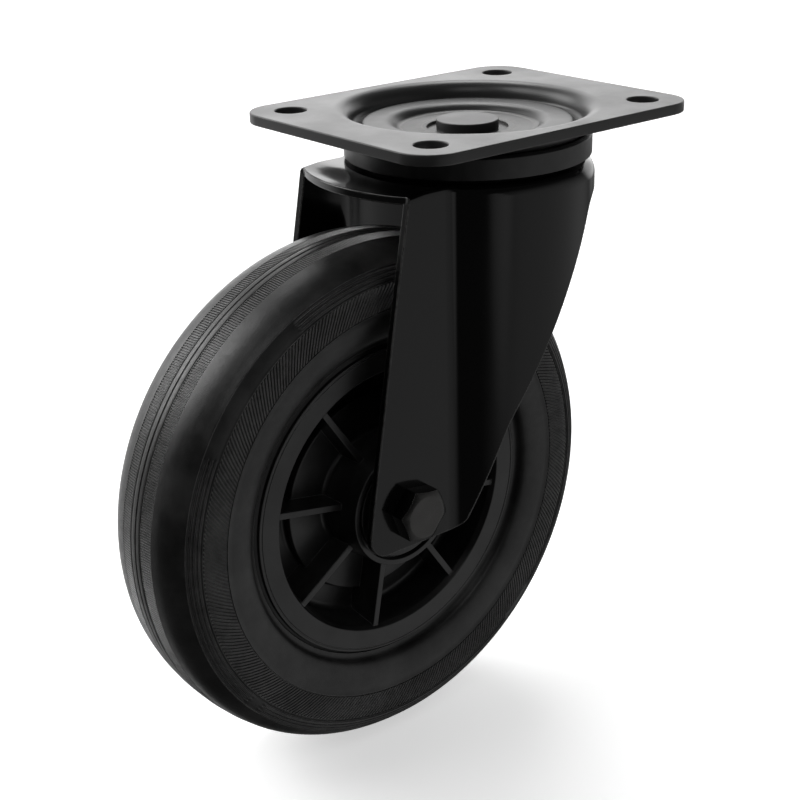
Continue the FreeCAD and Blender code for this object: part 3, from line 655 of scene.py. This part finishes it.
def build_pin():
    """The riveted pin: head in the dish, shank, collar and riveted end."""
    head = PIN_HIGH.z
    seat = -SEAT_DEPTH - SEAT_STEP
    race_top = RACE_LOW.z + RACE_FLOOR
    section = rounded([(0, head), (PIN_HIGH.x, head, 0.35), (PIN_HIGH.x, seat), (PIN_SHANK, seat),
                       (PIN_SHANK, PIN_COLLAR), (PIN_NECK, PIN_COLLAR), (PIN_NECK, race_top),
                       (PIN_SHANK, race_top), (PIN_SHANK, RACE_LOW.z), (11.5, RACE_LOW.z, 0.4),
                       (10.9, PIN_LOW.z, 1.2), (0, PIN_LOW.z)], step=15)
    return lathe("pin_visual", section, 144)


def build_seal():
    """The dust ring: a bevelled upper edge, a plain wall and a recessed foot."""
    outer = SEAL_HIGH.x
    low = SEAL_LOW.z
    neck = low + 1.1
    section = rounded([(outer - 2, SEAL_HIGH.z, 0.2), (outer - 0.9, SEAL_HIGH.z, 0.5),
                       (outer, SEAL_HIGH.z - 0.9, 0.5), (outer, neck, 0.3), (outer - 1.6, neck, 0.2),
                       (outer - 4.2, neck + 0.3), (outer - 4.2, low), (outer - 7, low),
                       (outer - 7, low + 1.4, 0.3), (outer - 2, low + 1.4)], step=18, closed=True)
    return lathe("seal_visual", section + section[:1], 288)


def build_race():
    """The cup of the lower ball row."""
    outer = RACE_HIGH.x
    floor = RACE_LOW.z + RACE_FLOOR
    section = rounded([(RACE_BORE, floor), (outer - 2, floor, 1), (outer - 2, RACE_HIGH.z, 0.3),
                       (outer, RACE_HIGH.z, 0.5), (outer, RACE_LOW.z, 2.4), (RACE_BORE, RACE_LOW.z)],
                      step=15, closed=True)
    return lathe("race_visual", section + section[:1], 144)


# bolt, nut and hub discs
HEX_TURN = -9.6
HEX_ACROSS = 19
HEX_CORNER = 0.45
HEX_SLOPE = math.tan(math.radians(30))
SHANK = 5.98
NUT_HEX = 8
NUT_BORE = 6.05
NUT_COLLAR = 9
NUT_MOUTH = 7.1
DISC_BORE = 10.1
DISC_BOSS = 14
DISC_RIM = 20.2
DISC_BACK = 24.2
DISC_FACE = 26.1


def hexagon():
    """The outline of a hexagon with slightly rounded corners, as (angle, radius)."""
    reach = HEX_ACROSS / math.sqrt(3)
    corners = []
    for side in range(6):
        angle = math.radians(60 * side + HEX_TURN)
        corners.append((reach * math.cos(angle), reach * math.sin(angle), HEX_CORNER))
    points = fine(rounded(corners, step=15, closed=True), HEX_ACROSS / 6)
    return [(math.atan2(y, x), math.hypot(x, y)) for x, y in points]


def hex_block(builder, face_radius, height, base_y, outward_y, closed=True):
    """Add a hexagon with a bevelled outer face on the axle, from base_y towards outward_y."""
    soft = 0.14

    def on_bevel(radius):
        return height - (radius - face_radius) * HEX_SLOPE

    def section(radius):
        return ((face_radius - 1.2, height), (face_radius - 0.25, height), (face_radius, height - 0.04),
                (face_radius + 0.2, height - 0.2 * HEX_SLOPE - 0.03),
                (radius - soft, on_bevel(radius - soft)), (radius - 0.02, on_bevel(radius) - 0.04),
                (radius, on_bevel(radius) - 0.3), (radius, 0.3), (radius - 0.05, 0.08), (radius - 0.3, 0))

    columns = []
    for angle, side in hexagon():
        columns.append([round_axle(radius, angle, base_y + outward_y * level)
                        for radius, level in section(side)])
    rows = [list(row) for row in zip(*columns)]
    builder.grid(rows, flip=outward_y > 0)
    if closed:
        builder.disc(rows[0], flip=outward_y < 0)


def build_bolt():
    """The axle bolt: a bevelled hexagon head outside the near leg and a shank through to the nut."""
    builder = Builder()
    hex_block(builder, 8.0, -BOLT_LOW.y - LEG_FACE, -LEG_FACE, -1)
    section = rounded([(SHANK, -LEG_FACE), (SHANK, BOLT_HIGH.y, 1), (0, BOLT_HIGH.y)], step=18)
    turn_section(builder, section, 72, round_axle, flip=True)
    return builder.build("bolt_visual", sharp=28)


def build_nut():
    """The lock nut on the far leg: a hexagon and a round collar."""
    builder = Builder()
    hex_block(builder, 9.1, NUT_HEX, LEG_FACE, 1, closed=False)
    top = LEG_FACE + NUT_HEX
    lid = NUT_HIGH.y
    collar = rounded([(7.9, top - 0.4), (NUT_COLLAR, top - 0.1, 0.5), (NUT_COLLAR, lid, 0.9),
                      (NUT_MOUTH, lid, 0.3), (NUT_MOUTH, lid - 0.9)], step=15)
    turn_section(builder, collar, 96, round_axle, flip=True)
    turn_section(builder, [(NUT_BORE, LEG_FACE + 0.1), (NUT_COLLAR, LEG_FACE + 0.1)], 72, round_axle)
    return builder.build("nut_visual", sharp=28)


def build_disc(side):
    """A disc that closes one end of the hub, with its boss towards the leg."""
    name = "disc_near_visual" if side < 0 else "disc_far_visual"
    tip = -DISC_LOW.y
    section = rounded([(DISC_BORE, DISC_BACK), (DISC_BORE, tip, 0.3), (DISC_BOSS, tip, 0.5),
                       (DISC_BOSS, DISC_FACE, 0.4), (DISC_RIM, DISC_FACE, 0.3), (DISC_RIM, DISC_BACK)],
                      step=18)
    section = [(radius, side * height) for radius, height in section]
    return lathe(name, section, 144, round_axle, flip=side > 0)


# wheel centre
HUB = 23.7
HUB_ROOT = 24.6
HUB_INSIDE = 21.5
HUB_END = 26.5
WEB = 4
WEB_BOSS = 8
WEB_BOSS_RADIUS = 40
RIM_ROOT = 50
RIM_MOUTH = 51.8
FLANGE = 61.6
FLANGE_INSIDE = 53
FLANGE_FACE = 19.9
HUB_BORE = 15.06
HUB_STEP = 24.1
RIM_LIP = 62.8
RIM_SEAT = 55.45
SEAT_HALF = 17.45
RIB_TOP = 18.5
RIB = 2.6
RIB_COUNT = 8
RIB_PHASE = 34.5


def build_wheel():
    """The wheel centre: hub, web and flanged rim in one section, with eight ribs on each side."""
    builder = Builder()
    upper = rounded([(HUB_BORE, 0), (HUB_BORE, HUB_STEP), (HUB_INSIDE, HUB_STEP, 0.3),
                     (HUB_INSIDE, HUB_END, 0.35), (HUB, HUB_END, 0.45), (HUB_ROOT, WEB_BOSS, 1.6),
                     (WEB_BOSS_RADIUS, WEB_BOSS, 0.6), (WEB_BOSS_RADIUS, WEB, 1.2),
                     (RIM_ROOT, WEB, 2.4), (RIM_MOUTH, 17.6, 1.5), (FLANGE_INSIDE, FLANGE_FACE, 0.55),
                     (FLANGE - 1.5, FLANGE_FACE, 0.15), (FLANGE - 1.3, FLANGE_FACE - 0.25, 0.15),
                     (FLANGE - 1.0, FLANGE_FACE - 0.25, 0.12), (FLANGE - 0.8, FLANGE_FACE, 0.15),
                     (FLANGE, FLANGE_FACE, 0.3), (FLANGE, 18.6, 0.4), (RIM_LIP, 18, 0.3),
                     (RIM_LIP, SEAT_HALF), (RIM_SEAT, SEAT_HALF, 0.3), (RIM_SEAT, 0)], step=15, hold=0.08)
    for side in (-1, 1):
        section = [(radius, side * height) for radius, height in upper]
        turn_section(builder, section, 360, round_axle, flip=side > 0)
        for index in range(RIB_COUNT):
            add_rib(builder, side, math.radians(RIB_PHASE + 360 * index / RIB_COUNT))
    return builder.build("wheel_visual", sharp=32)


def add_rib(builder, side, angle):
    """Add one straight rib between hub and rim, rounded along its top edges and blended into the rim."""
    along = Vector((math.cos(angle), 0, math.sin(angle)))
    across = Vector((-math.sin(angle), 0, math.cos(angle)))
    section = rounded([(-RIB / 2 - 0.25, 3.6), (-RIB / 2, RIB_TOP, 0.4), (RIB / 2, RIB_TOP, 0.4),
                       (RIB / 2 + 0.25, 3.6)], step=18, hold=0.1)
    rows = []
    for reach in (21.6, 30, 40, 49, 52.6):
        rows.append([tuple(AXLE + along * reach + across * offset + Vector((0, side * height, 0)))
                     for offset, height in section])
    builder.grid(rows, wrap=False, flip=side < 0)


# tyre
TREAD_RADIUS = 100
TREAD_ARC = 70.12
SHOULDER_CENTRE = (83.42, 9.12)
SHOULDER_ARC = 15.8
WALL_FACE = 24.75
WALL_START = 85.5
GROOVE = (2.6, 3.15)
KNURL_BAND = (3.4, 9.2)
KNURL_COUNT = 640
KNURL_FLOOR = 0.5
KNURL_VALLEY = 0.42
KNURL_RISE = 0.08
CENTRE_BAND = 0.5
LINE_RADIUS = 93.6
RIB_RADII = (92.0, 90.6, 89.2)
SLANT_BAND = (78.0, 87.8)
SLANT_COUNT = 330
SLANT_TURN = 0.56
TYRE_STEPS = 504
PADS = ((118, 152), (218, 222), (308, 318))
PAD_FADE = 0.8
BEAD = ((75.6, 24.1), (74.2, 24.02), (72, 23.75), (70, 23.35), (68.2, 22.75), (66.8, 22.05), (66, 21.4),
        (65.5, 20.6), (65.2, 19.6), (64.6, 18.8), (63.8, 18.4), (62.95, 18.3), (62.95, 17.42), (56, 17.42),
        (55.45, 17.3))


def tread_at(height):
    """Radius of the crowned tread at a height across it."""
    return TREAD_RADIUS - TREAD_ARC + math.sqrt(TREAD_ARC ** 2 - height ** 2)


def shoulder_height(radius):
    """Height of the shoulder's surface at a radius."""
    return SHOULDER_CENTRE[1] + math.sqrt(SHOULDER_ARC ** 2 - (radius - SHOULDER_CENTRE[0]) ** 2)


def wall_height(radius, bow):
    """Height of the slightly hollow sidewall at a radius below the shoulder."""
    return WALL_FACE - bow * ((WALL_START - radius) / 8) ** 2


def tyre_half():
    """The tyre's section on one side from the tread's middle to its seat, as (radius, height, relief).

    Relief is how far a moulded rib stands out where no pad interrupts it.
    """
    def tread(height, sunk=0, shift=0):
        return tread_at(height) - sunk, height + shift

    def shoulder(radius, lift=0):
        return radius, shoulder_height(radius) + lift

    low, high = GROOVE
    points = [(tread_at(0) - 0.45, 0), (tread_at(0) - 0.4, 0.2)]
    points += [tread(height) for height in (CENTRE_BAND, CENTRE_BAND + 0.2, 1.6, low - 0.15)]
    points += [tread(low, 0.06), tread(low, 0.75, 0.18), tread(high, 0.75, -0.18), tread(high, 0.06)]
    low, high = KNURL_BAND
    points += [tread(low, 0.02, -0.08), tread(low, KNURL_FLOOR, 0.05),
               tread(high, KNURL_FLOOR, -0.05), tread(high, 0.02, 0.08)]
    points += [tread(height) for height in (9.9, 10.6, 11.2)]
    points += arc(SHOULDER_CENTRE, SHOULDER_ARC, 12, 40, 4)
    points += [shoulder(LINE_RADIUS + 0.45), shoulder(LINE_RADIUS + 0.18, 0.3),
               shoulder(LINE_RADIUS - 0.18, 0.3), shoulder(LINE_RADIUS - 0.45, -0.12)]
    for rib in RIB_RADII:
        for offset, relief in ((0.52, 0), (0.28, 0.42), (-0.28, 0.42), (-0.52, 0)):
            points.append((*shoulder(rib + offset, -0.28), relief))
    low, high = SLANT_BAND
    points += [shoulder(high + 0.5, -0.25), shoulder(high + 0.2, -0.02), shoulder(high, -0.4)]
    points += [(radius, wall_height(radius, 0.3) - 0.55) for radius in (84, 82, 80, 78.4)]
    points += [(low, 23.95), (low - 0.2, 24.35), (low - 0.5, 24.3), (low - 0.8, 24.12)]
    return [(*point, 0)[:3] for point in points + list(BEAD)]


def pad_share(degrees):
    """1 where the moulded ribs run, 0 on the plain pads, with soft ends."""
    share = 1
    for first, last in PADS:
        middle, half = (first + last) / 2, (last - first) / 2
        away = abs((degrees - middle + 180) % 360 - 180) - half
        share = min(share, max(0, min(1, away / PAD_FADE)))
    return share


def build_tyre():
    """The rubber tyre with its tread bands, moulded ribs and slanted lines, on both sides."""
    builder = Builder()
    half = tyre_half()
    rows = []
    for side, points in ((-1, list(reversed(half[1:]))), (1, half)):
        for radius, height, relief in points:
            row = []
            for index in range(TYRE_STEPS):
                angle = 2 * math.pi * index / TYRE_STEPS
                lift = relief * pad_share(math.degrees(angle))
                row.append(round_axle(radius + 0.3 * lift, angle, side * (height + lift)))
            rows.append(row)
    builder.grid(rows)
    for side in (-1, 1):
        add_knurls(builder, side)
        add_slants(builder, side)
    return builder.build("tyre_visual", sharp=40)


def add_knurls(builder, side):
    """Add the fine ridges that run across a band of the tread."""
    low, high = KNURL_BAND
    rows = []
    for height, depth in ((low + 0.05, KNURL_FLOOR), (low + 0.12, 0), (high - 0.12, 0),
                          (high - 0.05, KNURL_FLOOR)):
        row = []
        for index in range(4 * KNURL_COUNT):
            angle = 2 * math.pi * index / (4 * KNURL_COUNT)
            sunk = depth if index % 4 in (0, 1) else max(depth, KNURL_VALLEY)
            row.append(round_axle(tread_at(height) + KNURL_RISE - sunk, angle, side * height))
        rows.append(row)
    builder.grid(rows, flip=side < 0)


def add_slants(builder, side):
    """Add the band of fine slanted lines on a sidewall."""
    low, high = SLANT_BAND
    rows = []
    steps = 8
    for step in range(steps + 1):
        radius = high - 0.25 + (low + 0.3 - high + 0.25) * step / steps
        base = shoulder_height(radius) if radius > WALL_START else wall_height(radius, 0.25)
        row = []
        for index in range(4 * SLANT_COUNT):
            angle = 2 * math.pi * index / (4 * SLANT_COUNT) + math.radians(SLANT_TURN * (high - radius))
            height = base - (0.05 if index % 4 in (0, 1) else 0.45)
            row.append(round_axle(radius, angle, side * height))
        rows.append(row)
    builder.grid(rows, flip=side > 0)


class Nodes:
    """A node tree, with short ways to add the common nodes."""

    def __init__(self, tree):
        self.tree = tree

    def put(self, socket, value):
        """Link a socket to another, or set its value."""
        if isinstance(value, bpy.types.NodeSocket):
            self.tree.links.new(value, socket)
        else:
            socket.default_value = value

    def put_named(self, node, inputs):
        """Put a node's inputs in place by their names, and return the node."""
        for name, value in inputs.items():
            self.put(node.inputs[name.replace("_", " ")], value)
        return node

    def put_first(self, node, *values):
        """Put a node's first inputs in place, and return the node's first output."""
        for socket, value in zip(node.inputs, values):
            self.put(socket, value)
        return node.outputs[0]

    def add(self, kind, **inputs):
        """A new node with its inputs put in place."""
        return self.put_named(self.tree.nodes.new(kind), inputs)

    def maths(self, operation, first, second=0.0, third=0.0, clamp=False):
        """The result of one sum."""
        node = self.add("ShaderNodeMath")
        node.operation = operation
        node.use_clamp = clamp
        return self.put_first(node, first, second, third)

    def dot(self, first, second):
        """The dot product of two directions."""
        node = self.add("ShaderNodeVectorMath")
        node.operation = "DOT_PRODUCT"
        self.put_first(node, first, second)
        return node.outputs["Value"]

    def spread(self, value, low, high, to_low=0.0, to_high=1.0):
        """A value moved smoothly from one range to another."""
        node = self.add("ShaderNodeMapRange")
        node.interpolation_type = "SMOOTHSTEP"
        return self.put_first(node, value, low, high, to_low, to_high)


class Look(Nodes):
    """A material built from nodes."""

    def __init__(self, name):
        self.material = bpy.data.materials.new(name + "_looks")
        self.material.use_nodes = True
        super().__init__(self.material.node_tree)
        self.shader = self.tree.nodes["Principled BSDF"]
        self.coordinates = self.add("ShaderNodeTexCoord").outputs["Object"]

    def noise(self, size, detail=3, roughness=0.5, stretch=None):
        """Noise with features of about the size given in millimetres."""
        source = self.coordinates
        if stretch:
            source = self.add("ShaderNodeMapping", Vector=source, Scale=stretch).outputs["Vector"]
        node = self.add("ShaderNodeTexNoise", Vector=source, Scale=1 / (size * MM), Detail=detail,
                        Roughness=roughness)
        return node.outputs["Fac"]

    def colour(self, share, first, second):
        """A mix of two greys or colours."""
        node = self.add("ShaderNodeMix")
        node.data_type = "RGBA"
        self.put(node.inputs["Factor"], share)
        self.put(node.inputs["A"], (*first, 1))
        self.put(node.inputs["B"], (*second, 1))
        return node.outputs["Result"]

    def relief(self, height, distance):
        """A bumped normal from a height, in millimetres."""
        return self.add("ShaderNodeBump", Height=height, Distance=distance * MM).outputs["Normal"]

    def edges(self, radius):
        """1 along sharp edges and 0 on flats, within a radius in millimetres."""
        bevel = self.add("ShaderNodeBevel", Radius=radius * MM)
        bevel.samples = 4
        flat = self.add("ShaderNodeNewGeometry").outputs["Normal"]
        return self.maths("SUBTRACT", 1.0, self.dot(bevel.outputs["Normal"], flat), clamp=True)

    def edge_wear_and_highlight(self, radius, low, high, patches, least, most=1.0, start=0.3):
        """How much the edges are lightened: patchy along them and 0 on the flats. This stands partly for wearing
        and dusting and partly for painted highlight where edges catch the light.
        """
        along = self.spread(self.edges(radius), low, high, 0, most)
        return self.maths("MULTIPLY", along, self.spread(patches, start, 0.6, least, 1.0))

    def finish(self, **inputs):
        """Put the shader's inputs in place and return the material."""
        self.put_named(self.shader, inputs)
        return self.material


def grey(level, warmth=0.0):
    """A grey with a slight warm or cool tint."""
    return (level * (1 + warmth), level, level * (1 - warmth))


def paint(name, level, gloss, grain, grain_depth, edge_wear_and_highlight_amount, ior):
    """Black paint on pressed steel: fine grain, cloudy gloss, and a thin lighter line along the edges that is
    partly wearing and partly painted highlight.
    """
    look = Look(name)
    cloud = look.noise(28, 4, 0.55)
    fine_grain = look.noise(grain, 2, 0.6)
    edge_wear_and_highlight = look.edge_wear_and_highlight(0.9, 0.015, 0.14, look.noise(2.2, 4, 0.7), 0.45, edge_wear_and_highlight_amount)
    # edges lighter in colour: partly wearing, partly a painted highlight where the edges catch the light
    base = look.colour(edge_wear_and_highlight, grey(level), grey(0.24, 0.02))
    rough = look.maths("MULTIPLY_ADD", edge_wear_and_highlight, 0.25, look.spread(cloud, 0.3, 0.7, *gloss))
    normal = look.relief(fine_grain, grain_depth)
    return look.finish(Base_Color=base, Roughness=rough, Normal=normal, IOR=ior)


def plastic(name, level, gloss, grain, grain_depth):
    """Moulded black plastic with a fine grained face, faint flow marks, and lighter edges that are partly rubbing
    and partly painted highlight.
    """
    look = Look(name)
    flow = look.noise(18, 3, 0.5, (1, 2.5, 1))
    fine_grain = look.noise(grain, 3, 0.65)
    # edges lightened partly for rubbing and partly as a painted highlight where they catch the light
    rubbed_and_edge_highlight = look.edge_wear_and_highlight(0.45, 0.02, 0.16, look.noise(3, 4, 0.7), 0.3, start=0.35)
    tone = look.maths("MULTIPLY_ADD", rubbed_and_edge_highlight, 0.8, look.spread(flow, 0.35, 0.65, 0, 0.1))
    base = look.colour(tone, grey(level), grey(level * 2 + 0.12))
    rough = look.spread(look.noise(6, 4, 0.6), 0.3, 0.7, *gloss)
    return look.finish(Base_Color=base, Roughness=rough, Normal=look.relief(fine_grain, grain_depth))


def rubber(name):
    """Matte black rubber: fine pores, a cloudy bloom, and lighter moulded lines and ridges, partly dusting kept by
    the lines and partly painted highlight where the ridges catch the light.
    """
    look = Look(name)
    pores = look.noise(0.55, 4, 0.7)
    bloom = look.noise(22, 5, 0.6)
    # moulded lines and ridges lighter in colour: partly dusting, partly a painted highlight where the ridges catch
    # the light
    dust_and_edge_highlight = look.edge_wear_and_highlight(0.3, 0.012, 0.1, look.noise(4, 4, 0.7), 0.35)
    tone = look.maths("MULTIPLY_ADD", dust_and_edge_highlight, 0.8, look.spread(bloom, 0.35, 0.7, 0, 0.12))
    base = look.colour(tone, grey(0.007), grey(0.2, 0.01))
    rough = look.spread(look.noise(3, 4, 0.6), 0.3, 0.7, 0.33, 0.43)
    return look.finish(Base_Color=base, Roughness=rough, Normal=look.relief(pores, 0.08))


def metal(name, level, gloss, grain=0.4, depth=0.01, warmth=0.0, stretch=None):
    """Bare or plated metal with faint grinding marks, and lighter edges that are partly wearing and partly painted
    highlight.
    """
    look = Look(name)
    marks = look.noise(grain, 4, 0.7, stretch)
    rough = look.spread(look.noise(5, 3, 0.6), 0.3, 0.7, *gloss)
    # edges lighter in colour: partly wearing, partly a painted highlight where the edges catch the light
    edge_wear_and_highlight = look.edge_wear_and_highlight(0.35, 0.02, 0.12, marks, 0.5)
    tone = look.maths("MULTIPLY_ADD", look.noise(9, 4, 0.6), 0.06, edge_wear_and_highlight)
    base = look.colour(tone, grey(level, warmth), grey(min(0.8, level * 2 + 0.35), warmth))
    return look.finish(Base_Color=base, Metallic=1.0, Roughness=rough, Normal=look.relief(marks, depth))


def nylon(name):
    """Pale nylon with a fine grain."""
    look = Look(name)
    tone = look.colour(look.noise(4, 3), (0.62, 0.61, 0.56), (0.72, 0.71, 0.66))
    return look.finish(Base_Color=tone, Roughness=0.42, Subsurface_Weight=0.1,
                       Normal=look.relief(look.noise(0.8, 3), 0.02))


# the values of each kind of material, by slot, in the order of its function's arguments
LOOKS = {
    paint: {
        "plate_paint": (0.028, (0.3, 0.38), 0.35, 0.012, 0.9, 1.42),
        "fork_paint": (0.003, (0.1, 0.15), 2.4, 0.006, 0.9, 1.4),
        "pin_paint": (0.02, (0.34, 0.42), 0.4, 0.01, 0.6, 1.5),
        "race_steel": (0.02, (0.35, 0.42), 0.4, 0.01, 0.5, 1.45),
    },
    plastic: {
        "seal_plastic": (0.006, (0.36, 0.44), 0.4, 0.012),
        "wheel_plastic": (0.009, (0.3, 0.38), 0.45, 0.02),
        "cage_plastic": (0.5, (0.4, 0.5), 0.6, 0.02),
    },
    metal: {
        "black_zinc": (0.05, (0.22, 0.3), 0.3, 0.01, 0.02),
        "bearing_steel": (0.55, (0.12, 0.2)),
        "sleeve_steel": (0.45, (0.25, 0.35), 0.3, 0.01, 0.03, (1, 0.08, 1)),
    },
    rubber: {"tyre_rubber": ()},
    nylon: {"nylon": ()},
}


def build_materials():
    """One material for each of the record's slots."""
    return {slot: kind(slot, *values) for kind, slots in LOOKS.items() for slot, values in slots.items()}


def dress(obj, material):
    """Give an object one material."""
    obj.data.materials.clear()
    obj.data.materials.append(material)


# camera: azimuth, elevation and roll in degrees, places in metres
CAMERA_ANGLES = (-39.121, 22.383, -1.402)
CAMERA_TARGET = (-0.03593, 0, -0.109406)
CAMERA_DISTANCE = 0.59311
CAMERA_LENS = 68.872


def add_camera():
    """The photo's view: a camera that looks down from the near rear side."""
    camera = bpy.data.cameras.new("photo_camera")
    holder = add_object("photo_camera", camera)
    camera.sensor_width = 36
    camera.lens = CAMERA_LENS
    azimuth, elevation, roll = (math.radians(angle) for angle in CAMERA_ANGLES)
    back = Vector((math.sin(azimuth) * math.cos(elevation), -math.cos(azimuth) * math.cos(elevation),
                   math.sin(elevation)))
    level = UP.cross(back).normalized()
    upright = back.cross(level)
    right = level * math.cos(roll) + upright * math.sin(roll)
    up = upright * math.cos(roll) - level * math.sin(roll)
    stand = Matrix((right, up, back)).transposed().to_4x4()
    stand.translation = Vector(CAMERA_TARGET) + back * CAMERA_DISTANCE
    holder.matrix_world = stand
    bpy.context.scene.camera = holder


AMBIENT = 0.05
# the world's soft areas of light: direction, inner and outer angle in degrees, strength
LOBES = (
    ((0.62, 0.76, 0.17), 12, 30, 1.25),
    ((0.15, 0.98, -0.05), 26, 58, 1.0),
    ((-0.4, 0.78, 0.46), 8, 20, 6.0),
    ((0.4, 0.49, 0.77), 5, 17, 7.0),
    ((-0.42, -0.4, 0.81), 5, 17, 1.5),
    ((0.583, -0.717, -0.381), 25, 65, 0.4),
    ((-0.21, -0.96, -0.2), 3, 13, 0.3),
    ((0.95, 0.3, 0.09), 8, 22, 1.3),
)


def add_world():
    """A pale studio: white behind the object, with softer light from round about for its reflections."""
    world = bpy.data.worlds.new("studio")
    bpy.context.scene.world = world
    world.use_nodes = True
    nodes = Nodes(world.node_tree)
    direction = nodes.add("ShaderNodeTexCoord").outputs["Generated"]
    light = 0.0
    for way, inner, outer, strength in LOBES:
        facing = nodes.dot(direction, Vector(way).normalized())
        edge, core = math.cos(math.radians(outer)), math.cos(math.radians(inner))
        light = nodes.maths("ADD", light, nodes.spread(facing, edge, core, 0, strength))
    light = nodes.maths("ADD", light, AMBIENT)
    seen = nodes.add("ShaderNodeLightPath").outputs["Is Camera Ray"]
    choose = nodes.add("ShaderNodeMix", Factor=seen, A=light, B=1.0)
    nodes.put(world.node_tree.nodes["Background"].inputs["Color"], choose.outputs["Result"])


def add_floor():
    """A plain pale floor just under the wheel."""
    mesh = bpy.data.meshes.new("floor")
    size = 12
    level = TYRE_LOW.z * MM - 0.0002
    corners = [(-size, -size, level), (size, -size, level), (size, size, level), (-size, size, level)]
    mesh.from_pydata(corners, [], [(0, 1, 2, 3)])
    floor = add_object("floor", mesh)
    look = Look("floor")
    tone = look.colour(look.noise(400, 3), (0.86, 0.86, 0.86), (0.88, 0.88, 0.88))
    dress(floor, look.finish(Base_Color=tone, Roughness=0.7, Emission_Color=(1, 1, 1, 1),
                             Emission_Strength=0.55))
    floor.visible_glossy = False
    floor.visible_diffuse = False


def add_light(name, place, target, size, power):
    """A square soft light that faces a target. Places in metres."""
    light = bpy.data.lights.new(name, "AREA")
    light.energy = power
    light.size = size
    holder = add_object(name, light)
    holder.location = place
    holder.rotation_euler = (Vector(target) - Vector(place)).to_track_quat("-Z", "Y").to_euler()


materials = build_materials()
record = frame["record"]
record_slots = {part["node"]: part["material_slot"] for part in record["subparts"]}
for node, obj in frame["nodes"].items():
    dress(obj, materials[record_slots[node]])
members = record["behaviour"]["bodies"]
bodies = {node: body for body, nodes in members.items() for node in nodes}

for node, obj in (
        ("top_plate", build_plate()), ("king_pin", build_pin()), ("dust_seal", build_seal()),
        ("lower_race", build_race()), ("fork", build_fork()), ("axle_bolt", build_bolt()),
        ("axle_nut", build_nut()), ("hub_disc_near", build_disc(-1)), ("hub_disc_far", build_disc(1)),
        ("wheel_centre", build_wheel()), ("tyre", build_tyre())):
    dress(obj, materials[record_slots[node]])
    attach(obj, bodies[node])
    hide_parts(node)

add_camera()
add_world()
add_floor()
add_light("key_soft", (-0.9, 0.5, 1.2), (-0.03, 0, -0.1), size=0.8, power=9)
bpy.context.scene.view_settings.view_transform = "Standard"
